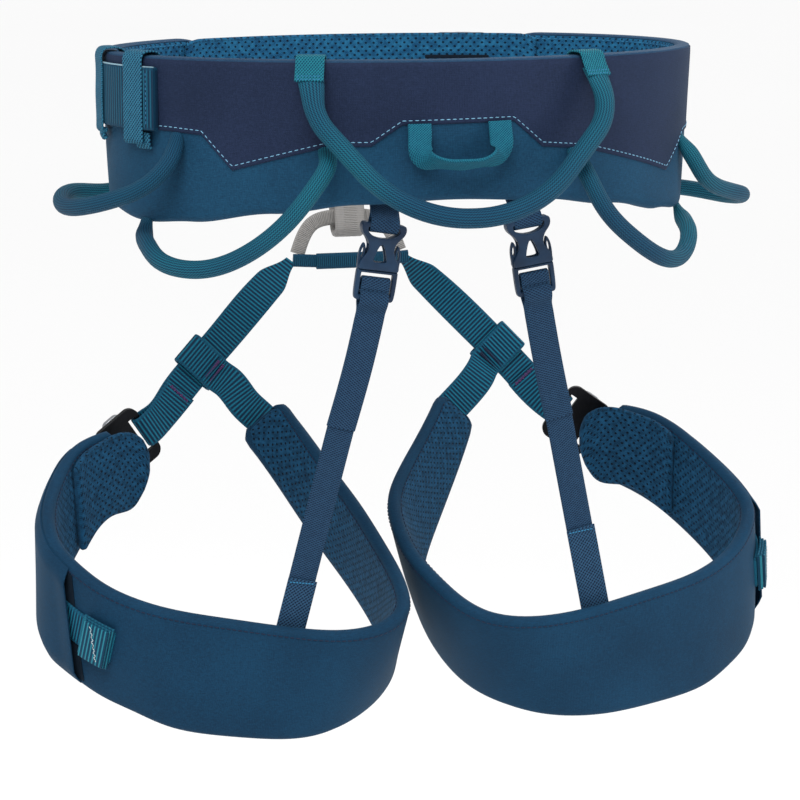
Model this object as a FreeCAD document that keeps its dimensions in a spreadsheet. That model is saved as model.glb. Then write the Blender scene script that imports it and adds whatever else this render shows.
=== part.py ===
"""Climbing harness: padded waist belt, tie-in points, five gear loops, haul loop and two leg loops.

Frame, in mm: origin at the centre of the waist opening, +Z up, the wearer's front at +Y and the
wearer's left at -X. Every strap, pad layer, loop and buckle half is its own object.
"""

import FreeCAD
import Part
import Sketcher

import math
import os

Vec = FreeCAD.Vector
Rot = FreeCAD.Rotation

SIZES = {
    "waist_half_x": 164.5,
    "waist_half_y": 115.0,
    "belt_top_z": 41.0,
    "belt_taper": 3.0,
    "yoke_thick": 1.0,
    "belt_shell_thick": 1.4,
    "belt_foam_thick": 5.0,
    "belt_lining_thick": 1.6,
    "layer_gap": 0.1,
    "binding_radius": 1.3,
    "leg_shell_thick": 1.3,
    "leg_foam_thick": 4.6,
    "leg_lining_thick": 1.5,
    "waist_web_width": 33.0,
    "web_thick": 1.7,
    "leg_web_width": 20.0,
    "elastic_width": 15.6,
    "elastic_thick": 1.5,
    "gear_loop_radius": 5.2,
    "haul_web_width": 11.0,
    "release_width": 23.0,
    "release_thick": 6.6,
    "socket_height": 24.0,
    "plug_height": 16.0,
    "prong_width": 3.2,
    "prong_thick": 2.6,
    "prong_length": 13.5,
    "leg_buckle_width": 36.0,
    "leg_buckle_height": 30.0,
    "leg_buckle_thick": 3.0,
    "leg_slider_height": 13.0,
    "waist_buckle_width": 42.0,
    "waist_buckle_length": 34.0,
    "waist_buckle_thick": 3.2,
    "waist_slider_length": 13.0,
    "belay_width": 18.0,
    "belay_thick": 3.2,
    "belay_gap": 10.0,
    "plug_thick": 4.2,
    "plug_eye_gap": 5.6,
    "tie_in_out": 15.5,
}

SIDES = (("left", -1), ("right", 1))

# Lower edge of the belt: ellipse angle in degrees (0 right, 90 front, 270 rear), height.
BELT_BOTTOM = (
    (0, -42), (25, -36), (50, -26), (90, -22), (130, -26), (155, -36), (180, -42), (200, -46),
    (215, -44), (235, -38), (252, -33), (270, -31), (288, -33), (305, -38), (325, -45), (342, -48),
)

# Lower edge of the yoke, corner by corner: ellipse angle in degrees, height.
YOKE_EDGE = (
    (172, 5.0), (211, 3.5), (219.5, 2.3), (226.4, -15.5), (246, -2.4), (254, -2.4), (259.7, 8.4),
    (280.8, 9.4), (287, -4.6), (297, -7.1), (325, -24.0), (336, -5.4), (350, -3.7), (368, -2.0),
)

# One leg pad, stations around the thigh from its outer front end: distance from the middle plane
# on the left and on the right leg, then Y and Z, for the top edge and for the foot of the outer face.
LEG_RIM = (
    ((152, 152, 67, -177), (146, 146, 66, -222)),
    ((168, 168, 60, -180), (163, 161, 58, -229)),
    ((185, 185, 45, -188), (181, 181, 43, -243)),
    ((199, 199, 16, -203), (199, 203, 17, -267)),
    ((203, 205, -8, -214), (202, 211, -5, -286)),
    ((200, 204, -26, -223), (195, 208, -21, -294)),
    ((189, 193, -45, -233), (181, 196, -39, -303)),
    ((173, 177, -60, -242), (164, 180, -54, -310)),
    ((148, 152, -75, -249), (144, 158, -68, -317)),
    ((117, 119, -86, -254), (116, 126, -78, -321)),
    ((86, 88, -93, -259), (88, 95, -84, -323)),
    ((58, 58, -97.5, -262), (66, 66, -83, -322)),
    ((33, 30, -94, -261), (46, 44, -74, -318)),
    ((16, 10, -82, -254), (26, 27, -57, -311.5)),
    ((12.8, -2, -62, -243), (12, 17, -36, -302)),
    ((15.2, -9.5, -37, -231), (9, 12, -12, -289)),
    ((21, -9.5, -6, -214.5), (18, 13, 18, -268)),
    ((28.5, 4, 22, -200), (35, 29, 44, -242)),
    ((37, 26, 54, -184), (54, 50, 66, -213)),
    ((46, 43.5, 81, -170), (72, 66, 85, -189)),
)

# Free tip of the mesh tongue that carries on ahead of the pad, same columns.
TONGUE_TIP = (
    ((133, 131, 65, -185), (133, 131, 64, -211)),
    ((139, 137, 64.5, -180), (138, 136, 63.5, -219)),
)

# Where the adjusting webbing and the sleeve over it end, by pad station.
LEG_STRAP_END = {"left": 6.75, "right": 5.45}
LEG_SLEEVE = {"left": (1.5, 5.6), "right": (1.5, 4.5)}

RISER_PATH = (
    (35, 33, 112, -91), (53, 51, 109.5, -108), (83, 81, 102, -138.5), (109, 105, 95, -165), (124, 120, 89.5, -180),
)
KEEPER_PATH = ((60, 56, 86.5, -179), (69, 66, 88.6, -170), (78, 77, 93, -158), (86, 87, 97.2, -147))

REAR_LOOP = ((77.7, 29.4), (82.3, 13.4), (34.8, -37.3), (-33.3, -37.3), (-78.4, 13.4), (-73.1, 29.4))
REAR_RADII = (30, 70, 70, 30)

SIDE_LOOPS = {
    "left": ((-71, -112, -9), (-78, -118, -31), (-106, -119, -59), (-149, -101, -62),
             (-154, -66, -57), (-148, -50, -50.5)),
    "right": ((67, -112.5, -11), (73, -118, -34), (98, -112, -60), (136, -92, -69),
              (148, -60, -62), (148, -46, -54.5)),
}
SIDE_RADII = (20, 34, 22, 9)

FRONT_LOOPS = {
    "left": ((-145, -66, -4), (-152, -67, -19), (-165, -60, -36), (-185, -22, -43),
             (-181, 26, -42), (-166, 55, -38), (-151, 57, -30)),
    "right": ((155, -49, -7), (162, -48, -22), (177, -40, -41), (202, -6, -51),
              (198, 38, -51), (172, 62, -45), (151, 57, -33)),
}
FRONT_RADII = (12, 26, 26, 20, 10)

document = FreeCAD.newDocument("climbing_harness")
sheet = document.addObject("Spreadsheet::Sheet", "dims")
parts = []


def fill_sheet():
    for row, (alias, value) in enumerate(SIZES.items(), start=1):
        sheet.set("A%d" % row, alias)
        sheet.set("B%d" % row, str(value))
        sheet.setAlias("B%d" % row, alias)
    document.recompute()


def size(alias):
    return float(getattr(sheet, alias))


def dim(alias):
    return "<<dims>>.%s" % alias


def is_bound(value):
    return isinstance(value, str)


def number(value):
    """The size behind a sheet expression, or the plain number itself."""
    return size(value.split(".")[1]) if is_bound(value) else float(value)


# ---------------------------------------------------------------- solids from sections

def spline(points, parameters, closed=False):
    curve = Part.BSplineCurve()
    if closed:
        curve.interpolate(Points=points, PeriodicFlag=True, Parameters=parameters)
    else:
        curve.interpolate(Points=points, Parameters=parameters)
    return curve.toShape()


def lengths(rail, closed):
    total = [0.0]
    ring = rail + [rail[0]] if closed else rail
    for before, after in zip(ring, ring[1:]):
        total.append(total[-1] + (after - before).Length)
    return total


def ruled(first, second):
    return Part.makeRuledSurface(first, second)


def skin(rails, closed=False, corners=()):
    """A solid through sections: each rail is one corner of the section carried along."""
    middle = [sum((rail[i] for rail in rails), Vec()) / len(rails) for i in range(len(rails[0]))]
    parameters = lengths(middle, closed)
    last = len(middle) - 1
    cuts = [0] + list(corners) + [last]
    faces = []
    for start, stop in zip(cuts, cuts[1:]):
        if closed:
            edges = [spline(rail, parameters, True) for rail in rails]
        else:
            span = parameters[start:stop + 1]
            edges = [spline(rail[start:stop + 1], span) for rail in rails]
        for edge, following in zip(edges, edges[1:] + edges[:1]):
            faces.append(ruled(edge, following))
    if not closed:
        for end in (0, last):
            ring = [rail[end] for rail in rails]
            if len(ring) == 4:
                faces.append(ruled(Part.makeLine(ring[0], ring[1]), Part.makeLine(ring[3], ring[2])))
            else:
                faces.append(Part.Face(Part.makePolygon(ring + ring[:1])))
    shell = Part.makeShell(faces)
    shell.sewShape()
    solid = Part.makeSolid(shell if shell.ShapeType == "Shell" else shell.Shells[0])
    if solid.Volume < 0:
        solid.reverse()
    return solid


def tangents(points, closed=False):
    result = []
    count = len(points)
    for i in range(count):
        if closed:
            before, after = points[i - 1], points[(i + 1) % count]
        else:
            before, after = points[max(i - 1, 0)], points[min(i + 1, count - 1)]
        result.append((after - before).normalize())
    return result


def refined(points, steps):
    """More points on the smooth curve through the given ones."""
    knots = lengths(points, False)
    curve = Part.BSplineCurve()
    curve.interpolate(Points=points, Parameters=knots)
    return [curve.value(knots[-1] * i / steps) for i in range(steps + 1)]


def ribbon(points, across, width, thick, corners=()):
    """Webbing: a flat strip along points; across is the direction of its width."""
    widths = across if isinstance(across, list) else [across] * len(points)
    rails = [[], [], [], []]
    for point, tangent, wide in zip(points, tangents(points), widths):
        side = (wide - tangent * wide.dot(tangent)).normalize()
        normal = tangent.cross(side).normalize()
        for rail, (a, b) in zip(rails, ((1, 1), (-1, 1), (-1, -1), (1, -1))):
            rail.append(point + side * (a * width / 2) + normal * (b * thick / 2))
    return skin(rails, corners=corners)


def rounded_wire(points, radii):
    """Straight runs joined by tangent arcs; radii belong to the inner points."""
    edges = []
    start = points[0]
    for before, corner, after, radius in zip(points, points[1:], points[2:], radii):
        back = (before - corner).normalize()
        ahead = (after - corner).normalize()
        half = math.acos(max(-1.0, min(1.0, back.dot(ahead)))) / 2
        reach = radius / math.tan(half)
        inward = (back + ahead).normalize()
        centre = corner + inward * (radius / math.sin(half))
        first = corner + back * reach
        second = corner + ahead * reach
        if (first - start).Length > 0.05:
            edges.append(Part.makeLine(start, first))
        edges.append(Part.Arc(first, centre - inward * radius, second).toShape())
        start = second
    edges.append(Part.makeLine(start, points[-1]))
    return Part.Wire(edges)


def cord(points, radii, radius, ends=True):
    """A round cord along the path, with half-ball ends."""
    wire = rounded_wire(points, radii)
    first = (points[1] - points[0]).normalize()
    ring = Part.Wire([Part.makeCircle(radius, points[0], first)])
    solid = wire.makePipeShell([ring], True, True)
    if ends:
        last = (points[-2] - points[-1]).normalize()
        for point, inward in ((points[0], first), (points[-1], last)):
            solid = solid.fuse(Part.makeSphere(radius, point, inward * -1, 0, 90, 360))
        solid = solid.removeSplitter()
    return solid


def add_soft(label, shape):
    """A soft curved piece whose solid is worked out by the functions above."""
    feature = document.addObject("Part::Feature", label)
    feature.Label = label
    feature.Shape = shape
    parts.append(feature)
    return feature


# ---------------------------------------------------------------- the waist belt

def on_belt(degrees, z, depth=0.0):
    """A point on the belt, depth mm inside the outer face; the wall leans in towards its foot."""
    lean = size("belt_taper") * (size("belt_top_z") - z) / 80.0
    angle = math.radians(degrees)
    a = size("waist_half_x") - lean
    b = size("waist_half_y") - lean
    normal = Vec(math.cos(angle) / a, math.sin(angle) / b, 0).normalize()
    return Vec(a * math.cos(angle), b * math.sin(angle), z) - normal * depth


def belt_bottom(degrees):
    """Height of the lower edge of the belt at an ellipse angle."""
    table = [(angle, height) for angle, height in BELT_BOTTOM]
    table.append((360 + table[0][0], table[0][1]))
    angle = degrees % 360
    for (a0, z0), (a1, z1) in zip(table, table[1:]):
        if a0 <= angle <= a1:
            share = (1 - math.cos(math.pi * (angle - a0) / (a1 - a0))) / 2
            return z0 + (z1 - z0) * share
    return table[0][1]


def belt_layer(start, stop, outer, inner, top, bottom, steps):
    """One layer of the belt; top and bottom give its edge heights from the angle."""
    rails = [[], [], [], []]
    for i in range(steps + 1):
        angle = start + (stop - start) * i / steps
        high, low = top(angle), bottom(angle)
        rails[0].append(on_belt(angle, high, outer))
        rails[1].append(on_belt(angle, low, outer))
        rails[2].append(on_belt(angle, low, inner))
        rails[3].append(on_belt(angle, high, inner))
    return skin(rails)


def build_belt():
    gap = size("layer_gap")
    top_z = size("belt_top_z")
    start, stop, steps = 126, 414, 64

    def top(angle):
        edge = min(abs(angle - start), abs(stop - angle))
        return top_z - 3.0 * max(0.0, 1 - edge / 6.0) ** 2

    def bottom(angle):
        edge = min(abs(angle - start), abs(stop - angle))
        return belt_bottom(angle) + 7.0 * max(0.0, 1 - edge / 14.0) ** 2

    depth = size("yoke_thick") + gap
    for label, thick in (
        ("waist_outer_shell", size("belt_shell_thick")),
        ("waist_foam", size("belt_foam_thick")),
        ("waist_mesh_lining", size("belt_lining_thick")),
    ):
        add_soft(label, belt_layer(start, stop, depth, depth + thick, top, bottom, steps))
        depth += thick + gap
    build_yoke(top)
    build_binding(top, depth - gap, start, stop, steps)
    build_front_tongue(depth)


def build_yoke(top):
    rails = [[], [], [], []]
    corners = []
    thick = size("yoke_thick")
    for index, ((a0, z0), (a1, z1)) in enumerate(zip(YOKE_EDGE, YOKE_EDGE[1:])):
        pieces = max(2, int(round((a1 - a0) / 5.0)))
        for i in range(pieces):
            share = i / pieces
            angle, low = a0 + (a1 - a0) * share, z0 + (z1 - z0) * share
            if i == 0 and index:
                corners.append(len(rails[0]))
            add_yoke_station(rails, angle, top(angle), low, thick)
    angle, low = YOKE_EDGE[-1]
    add_yoke_station(rails, angle, top(angle), low, thick)
    add_soft("waist_yoke", skin(rails, corners=corners))


def add_yoke_station(rails, angle, high, low, thick):
    rails[0].append(on_belt(angle, high, 0))
    rails[1].append(on_belt(angle, low, 0))
    rails[2].append(on_belt(angle, low, thick))
    rails[3].append(on_belt(angle, high, thick))


def build_binding(top, total, start, stop, steps):
    """Narrow tape that rides on the top edge, over all the layers."""
    low, high = size("layer_gap"), size("binding_radius")
    rails = [[], [], [], []]
    for i in range(steps + 1):
        angle = start + (stop - start) * i / steps
        z = top(angle)
        rails[0].append(on_belt(angle, z + high, 1.4))
        rails[1].append(on_belt(angle, z + low, 0.4))
        rails[2].append(on_belt(angle, z + low, total - 0.4))
        rails[3].append(on_belt(angle, z + high, total - 1.4))
    add_soft("waist_edge_binding", skin(rails))


def build_front_tongue(depth):
    """Thin pad inside the front gap; its ends lie against the lining."""
    start, stop, steps = 48, 132, 20
    rails = [[], [], [], []]
    for i in range(steps + 1):
        angle = start + (stop - start) * i / steps
        edge = min(i, steps - i) / 3.0
        round_off = 4.0 * max(0.0, 1 - edge) ** 2
        high, low = 41.5 - round_off, -16.0 + round_off
        rails[0].append(on_belt(angle, high, depth + 0.3))
        rails[1].append(on_belt(angle, low, depth + 0.3))
        rails[2].append(on_belt(angle, low, depth + 4.3))
        rails[3].append(on_belt(angle, high, depth + 4.3))
    add_soft("waist_front_tongue", skin(rails))


# ---------------------------------------------------------------- waist strap and its buckle

WAIST_STRAP_Z = 20.0
BUCKLE_ANGLE = 66.0
BUCKLE_OUT = 5.4
BEND_RADIUS = 3.3


def belt_side(degrees, z, out):
    """A point at height z beside the belt, out mm outside its upper outer face."""
    point = on_belt(degrees, size("belt_top_z"), -out)
    return Vec(point.x, point.y, z)


def belt_run(stations, steps):
    """Points beside the belt through (angle, out) stations, eased between them."""
    result = []
    for (a0, out0), (a1, out1) in zip(stations, stations[1:]):
        for i in range(steps):
            share = i / steps
            eased = (1 - math.cos(math.pi * share)) / 2
            result.append(belt_side(a0 + (a1 - a0) * share, WAIST_STRAP_Z, out0 + (out1 - out0) * eased))
    angle, out = stations[-1]
    result.append(belt_side(angle, WAIST_STRAP_Z, out))
    return result


def build_waist_strap():
    """One webbing: sewn on the left pad end, around the buckle bar, and back over itself."""
    up = Vec(0, 0, 1)
    turn = BUCKLE_ANGLE + 4.8
    low, high = BUCKLE_OUT - BEND_RADIUS, BUCKLE_OUT + BEND_RADIUS
    inner = belt_run(((148, 0.1), (130, 0.1), (118, 1.1), (79, 1.1), (turn, low)), 7)
    outer = belt_run(((turn, high), (80, 3.4), (112, 3.4), (134, 2.4), (164, 2.4), (172, 1.1), (208.4, 1.1)), 7)
    centre = belt_side(turn, WAIST_STRAP_Z, BUCKLE_OUT)
    across = (outer[0] - inner[-1]).normalize()
    along = up.cross(across)
    if along.dot(inner[-1] - inner[-2]) < 0:
        along = along * -1
    bend = []
    for i in range(1, 6):
        angle = math.pi * i / 6
        bend.append(centre - across * (BEND_RADIUS * math.cos(angle)) + along * (BEND_RADIUS * math.sin(angle)))
    path = inner + bend + outer
    corners = (len(inner) - 1, len(inner) + len(bend))
    add_soft("waist_strap", ribbon(path, up, size("waist_web_width"), size("web_thick"), corners))


def build_keepers():
    """Two elastic bands, folded over the top edge, that hold the tail of the waist strap."""
    for label, start, stop, low in (
        ("tail_keeper_rear", 197.2, 204.4, -4.0), ("tail_keeper_side", 178.6, 185.6, -1.0),
    ):
        section = ((43.0, -9.9), (43.9, -9.9), (43.9, 3.1), (low, 3.1), (low, 0.2), (low + 1, 0.2),
                   (low + 1, 2.2), (43.0, 2.2))
        rails = []
        for z, out in section:
            rails.append([belt_side(start + (stop - start) * i / 6, z, out) for i in range(7)])
        add_soft(label, skin(rails))


def eye(bar, across, along, width, gap, length, thick):
    """Webbing turned around a bar: a flat racetrack band, its round end past the bar."""
    along = Vec(along).normalize()
    across = Vec(across).normalize()
    lift = along.cross(across).normalize()
    far = bar + along * length
    faces = []
    for radius in (gap / 2 + thick, gap / 2):
        a, b, c = bar + lift * radius, bar - along * radius, bar - lift * radius
        d, e, f = far - lift * radius, far + along * radius, far + lift * radius
        faces.append(Part.Face(Part.Wire([
            Part.Arc(a, b, c).toShape(), Part.makeLine(c, d), Part.Arc(d, e, f).toShape(), Part.makeLine(f, a),
        ])))
    band = faces[0].cut(faces[1])
    solid = band.extrude(across * width)
    solid.translate(across * (-width / 2))
    return solid


def joined(*solids):
    whole = solids[0].fuse(list(solids[1:]))
    return whole.Solids[0] if len(whole.Solids) == 1 else whole


# ---------------------------------------------------------------- machined and moulded pieces

def plane_of(body, role):
    for feature in body.Origin.OriginFeatures:
        if feature.Role == role:
            return feature
    raise ValueError(role)


def new_body(label):
    body = document.addObject("PartDesign::Body", label)
    body.Label = label
    parts.append(body)
    return body


def new_sketch(body, name, role="XY_Plane"):
    sketch = body.newObject("Sketcher::SketchObject", name)
    sketch.AttachmentSupport = [(plane_of(body, role), "")]
    sketch.MapMode = "FlatFace"
    return sketch


def add_rectangle(sketch, width, height, x=0.0, y=0.0):
    """A rectangle centred on x, y whose width and height are sheet expressions or numbers."""
    w, h = number(width), number(height)
    first = sketch.GeometryCount
    corners = [Vec(x + a * w / 2, y + b * h / 2, 0) for a, b in ((-1, -1), (1, -1), (1, 1), (-1, 1))]
    for start, stop in zip(corners, corners[1:] + corners[:1]):
        sketch.addGeometry(Part.LineSegment(start, stop), False)
    for i in range(4):
        sketch.addConstraint(Sketcher.Constraint("Coincident", first + i, 2, first + (i + 1) % 4, 1))
    sketch.addConstraint(Sketcher.Constraint("Horizontal", first))
    sketch.addConstraint(Sketcher.Constraint("Horizontal", first + 2))
    sketch.addConstraint(Sketcher.Constraint("Vertical", first + 1))
    sketch.addConstraint(Sketcher.Constraint("Vertical", first + 3))
    for kind, value, given in (("DistanceX", w, width), ("DistanceY", h, height)):
        line = first if kind == "DistanceX" else first + 1
        index = sketch.addConstraint(Sketcher.Constraint(kind, line, 1, line, 2, value))
        if is_bound(given):
            sketch.setExpression("Constraints[%d]" % index, given)
    sketch.addConstraint(Sketcher.Constraint("DistanceX", -1, 1, first, 1, x - w / 2))
    index = sketch.ConstraintCount - 1
    if is_bound(width):
        sketch.setExpression("Constraints[%d]" % index, "%s - %s / 2" % (x, width))
    sketch.addConstraint(Sketcher.Constraint("DistanceY", -1, 1, first, 1, y - h / 2))
    index = sketch.ConstraintCount - 1
    if is_bound(height):
        sketch.setExpression("Constraints[%d]" % index, "%s - %s / 2" % (y, height))


def pad(body, sketch, length, midplane=True):
    feature = body.newObject("PartDesign::Pad", sketch.Name + "_pad")
    feature.Profile = sketch
    feature.Midplane = midplane
    if is_bound(length):
        feature.setExpression("Length", length)
    else:
        feature.Length = length
    return feature


def pocket(body, sketch, length=200.0):
    feature = body.newObject("PartDesign::Pocket", sketch.Name + "_cut")
    feature.Profile = sketch
    feature.Midplane = True
    feature.Length = length
    return feature


def round_edges(body, feature, radius, test):
    """Fillet the edges of a feature that pass the test."""
    document.recompute()
    names = ["Edge%d" % (i + 1) for i, edge in enumerate(feature.Shape.Edges) if test(edge)]
    fillet = body.newObject("PartDesign::Fillet", feature.Name + "_round")
    fillet.Base = (feature, names)
    fillet.Radius = radius
    return fillet


def is_upright(edge):
    """A straight edge along the local Z axis."""
    if edge.Curve.TypeId != "Part::GeomLine":
        return False
    return abs(edge.tangentAt(edge.FirstParameter).z) > 0.99


def outer_upright(half_width, half_height):
    """Upright edges on the outer corners of a plate."""
    def test(edge):
        if not is_upright(edge):
            return False
        point = edge.Vertexes[0].Point
        return abs(abs(point.x) - half_width) < 0.01 and abs(abs(point.y) - half_height) < 0.01
    return test


def build_plate(label, width, height, thick, slots, corner, placement):
    """A buckle plate: rounded outline, slots through it."""
    body = new_body(label)
    outline = new_sketch(body, label + "_outline")
    add_rectangle(outline, width, height)
    base = pad(body, outline, thick)
    round_edges(body, base, corner, outer_upright(number(width) / 2, number(height) / 2))
    cuts = new_sketch(body, label + "_slots")
    for wide, high, y in slots:
        add_rectangle(cuts, wide, high, 0.0, y)
    pocket(body, cuts)
    body.Placement = placement
    return body


def facing(origin, normal, up):
    """Placement whose local Z is the normal and whose local Y is near up."""
    z = Vec(normal).normalize()
    y = (up - z * up.dot(z)).normalize()
    x = y.cross(z)
    return FreeCAD.Placement(origin, Rot(x, y, z, "ZXY"))


def build_waist_buckle():
    """Two plates at the front right; the strap turns around one bar, a sewn tab holds the other."""
    centre = belt_side(BUCKLE_ANGLE, WAIST_STRAP_Z, BUCKLE_OUT)
    foot = belt_side(BUCKLE_ANGLE, WAIST_STRAP_Z, 0.0)
    outward = (centre - foot).normalize()
    along = Vec(0, 0, 1).cross(outward)
    if along.dot(belt_side(BUCKLE_ANGLE + 1, WAIST_STRAP_Z, 0.0) - foot) < 0:
        along = along * -1
    build_plate(
        "waist_buckle_frame", dim("waist_buckle_width"), dim("waist_buckle_length"),
        dim("waist_buckle_thick"), ((35.0, 5.4, 9.7), (35.0, 5.4, -9.7)), 5.0,
        facing(centre, outward, along),
    )
    build_plate(
        "waist_buckle_slider", dim("waist_buckle_width"), dim("waist_slider_length"),
        dim("waist_buckle_thick"), ((35.0, 4.0, 0.0),), 3.0,
        facing(centre + outward * 3.7 - along * 1.0, outward, along),
    )
    bar = centre - along * 13.0
    loop = eye(bar, Vec(0, 0, 1), along * -1, size("waist_web_width"), 4.4, 6.0, size("web_thick"))
    path = [bar - along * 7.4 - outward * 2.2] + belt_run(((55, 1.2), (50, 0.1), (36, 0.1)), 4)
    run = ribbon(path, Vec(0, 0, 1), size("waist_web_width"), size("web_thick"))
    add_soft("waist_buckle_tab", joined(loop, run))


# ---------------------------------------------------------------- rear release buckles and elastics

def release_line(sign):
    """Axis of one release buckle: point at its top bar and the direction down the strap."""
    top = Vec(sign * 39.0 + 2.4, -102.0, -45.0)
    return top, Vec(sign * 0.15, 0.02, -0.989).normalize()


def release_wide(sign):
    """Direction across the release buckle, square to its line."""
    down = release_line(sign)[1]
    return Vec(-down.z, 0, down.x).normalize()


def build_release(side, sign):
    top, down = release_line(sign)
    upright = FreeCAD.Placement(top, Rot(Vec(0, 0, -1), down))
    build_socket(side, upright)
    build_plug(side, upright)
    build_rear_tab(side, sign)


def build_socket(side, placement):
    """Local frame: X across, Y out of the face, Z up; the top bar is at the origin."""
    body = new_body("buckle_socket_" + side)
    height = size("socket_height")
    outline = new_sketch(body, body.Name + "_outline", "XZ_Plane")
    half = size("release_width") / 2
    points = [
        (-half, 2.0), (half, 2.0), (half, -3.5), (half - 3.0, -7.5), (half - 3.2, -10.5),
        (half - 1.4, -14.0), (half - 1.4, -height + 2), (-half + 1.4, -height + 2),
        (-half + 1.4, -14.0), (-half + 3.2, -10.5), (-half + 3.0, -7.5), (-half, -3.5),
    ]
    close_profile(outline, points)
    pad(body, outline, dim("release_thick"))
    slot = new_sketch(body, body.Name + "_slot", "XZ_Plane")
    add_rectangle(slot, 16.8, 3.4, 0.0, -2.0)
    pocket(body, slot)
    window = new_sketch(body, body.Name + "_window", "XZ_Plane")
    close_profile(window, [(-1.6, -8.6), (1.6, -8.6), (4.4, -17.5), (-4.4, -17.5)])
    pocket(body, window)
    mouth = new_sketch(body, body.Name + "_mouth", "YZ_Plane")
    close_profile(mouth, [(-1.8, -9.0), (1.8, -9.0), (1.8, -30.0), (-1.8, -30.0)])
    for y in (1.5, -1.5):
        outer = math.copysign(4.0, y)
        close_profile(mouth, [(y, -0.3), (outer, -0.3), (outer, 3.0), (y, 3.0)])
    pocket(body, mouth)
    body.Placement = placement


def close_profile(sketch, points):
    vectors = [Vec(x, y, 0) for x, y in points]
    first = sketch.GeometryCount
    count = len(vectors)
    for start, stop in zip(vectors, vectors[1:] + vectors[:1]):
        sketch.addGeometry(Part.LineSegment(start, stop), False)
    for i in range(count):
        sketch.addConstraint(Sketcher.Constraint("Coincident", first + i, 2, first + (i + 1) % count, 1))


def build_plug(side, placement):
    """Ladder bar at the foot, two prongs and a centre rib that run up into the socket."""
    body = new_body("buckle_plug_" + side)
    top = -size("socket_height") + 1.4
    foot = top - size("plug_height")
    base = new_sketch(body, body.Name + "_base", "XZ_Plane")
    add_rectangle(base, 21.6, dim("plug_height"), 0.0, (top + foot) / 2)
    pad(body, base, dim("plug_thick"))
    prongs = new_sketch(body, body.Name + "_prongs", "XZ_Plane")
    reach = size("prong_length")
    for x in (-7.4, 7.4):
        add_rectangle(prongs, dim("prong_width"), dim("prong_length"), x, top + reach / 2 - 1.0)
    add_rectangle(prongs, 2.4, 9.0, 0.0, top + 3.5)
    pad(body, prongs, dim("prong_thick"))
    slot = new_sketch(body, body.Name + "_slots", "XZ_Plane")
    add_rectangle(slot, 16.8, 3.2, 0.0, top - 6.2)
    add_rectangle(slot, 17.0, 3.8, 0.0, top - 12.1)
    pocket(body, slot)
    body.Placement = placement


def build_rear_tab(side, sign):
    """Webbing from under the belt down to an eye around the top bar of the socket."""
    top, down = release_line(sign)
    wide = release_wide(sign)
    width, thick = size("elastic_width"), size("elastic_thick")
    up = down * -1
    path = [top + up * 4.4, top + up * 9.0 + Vec(0, 3.4, 0), top + up * 15.0 + Vec(0, 9.2, 0)]
    run = ribbon(refined(path, 6), wide, width, thick * 2)
    add_soft("rear_tab_" + side, joined(eye(top + up * 0.85, wide, up, width, 4.8, 2.0, thick), run))


def build_elastics(side, sign):
    """Elastic strap: an eye and doubled run below the plug, then a single layer to the leg pad."""
    top, down = release_line(sign)
    foot = Vec(sign * 87.0 + 3.0, -80.6, -266.0)
    bar = top + down * (size("socket_height") - 1.4 + 14.9)
    wide = release_wide(sign)
    width, thick = size("elastic_width"), size("elastic_thick")
    ring = eye(bar, wide, down, width, size("plug_eye_gap"), 2.0, thick)
    start = bar + down * 5.0
    split = start + (foot - start) * 0.36
    middle = start + down * 12.0 + (split - start - down * 12.0) * 0.3
    run = ribbon(refined([start, middle, split], 5), wide, width, thick * 2)
    add_soft("elastic_upper_" + side, joined(ring, run))
    below = split + (foot - split).normalize() * 0.4
    path = [below, below + (foot - below) * 0.5 + Vec(0, 0.4, 0), foot]
    add_soft("elastic_lower_" + side, ribbon(refined(path, 5), wide, width, thick))


# ---------------------------------------------------------------- gear loops and haul loop

def vectors(points):
    return [Vec(*point) for point in points]


def build_gear_loops():
    radius = size("gear_loop_radius")
    path = [Vec(x, -110.0 - (30.0 - z) * 0.41, z) for x, z in REAR_LOOP]
    add_soft("gear_loop_rear", cord(path, REAR_RADII, radius))
    for side, sign in SIDES:
        add_soft("gear_loop_side_" + side, cord(vectors(SIDE_LOOPS[side]), SIDE_RADII, radius))
        add_soft("gear_loop_front_" + side, cord(vectors(FRONT_LOOPS[side]), FRONT_RADII, radius))
        build_rear_loop_tab(side, sign)


def build_rear_loop_tab(side, sign):
    """Woven tab folded over the top edge of the belt above the end of the rear gear loop."""
    middle = 270 + sign * 27.2
    section = ((43.1, -9.9), (44.6, -9.9), (44.6, 2.0), (36.4, 2.0), (36.4, 0.4), (43.1, 0.4))
    rails = []
    for z, out in section:
        rails.append([belt_side(middle - 2.8 + 5.6 * i / 4, z, out) for i in range(5)])
    add_soft("rear_loop_tab_" + side, skin(rails))


def build_haul_loop():
    """Flat webbing bight that hangs under the yoke seam at the centre back."""
    width = size("haul_web_width")
    points = [Vec(-20.5, -118.2, 5.5), Vec(-21.0, -118.8, -1.5), Vec(-18.5, -120.4, -8.5),
              Vec(-9.0, -121.6, -11.4), Vec(1.5, -121.9, -11.8), Vec(12.0, -121.4, -10.8),
              Vec(20.0, -120.2, -7.5), Vec(22.5, -118.8, -1.0), Vec(22.0, -118.0, 6.0)]
    across = [Vec(1, 0, 0), Vec(1, 0, 0.3), Vec(0.5, -0.45, 0.8), Vec(0.05, -0.75, 0.65), Vec(0, -0.8, 0.6),
              Vec(-0.05, -0.75, 0.65), Vec(-0.5, -0.45, 0.8), Vec(-1, 0, 0.3), Vec(-1, 0, 0)]
    add_soft("haul_loop", ribbon(points, across, width, 2.0))


# ---------------------------------------------------------------- tie-in points

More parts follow.
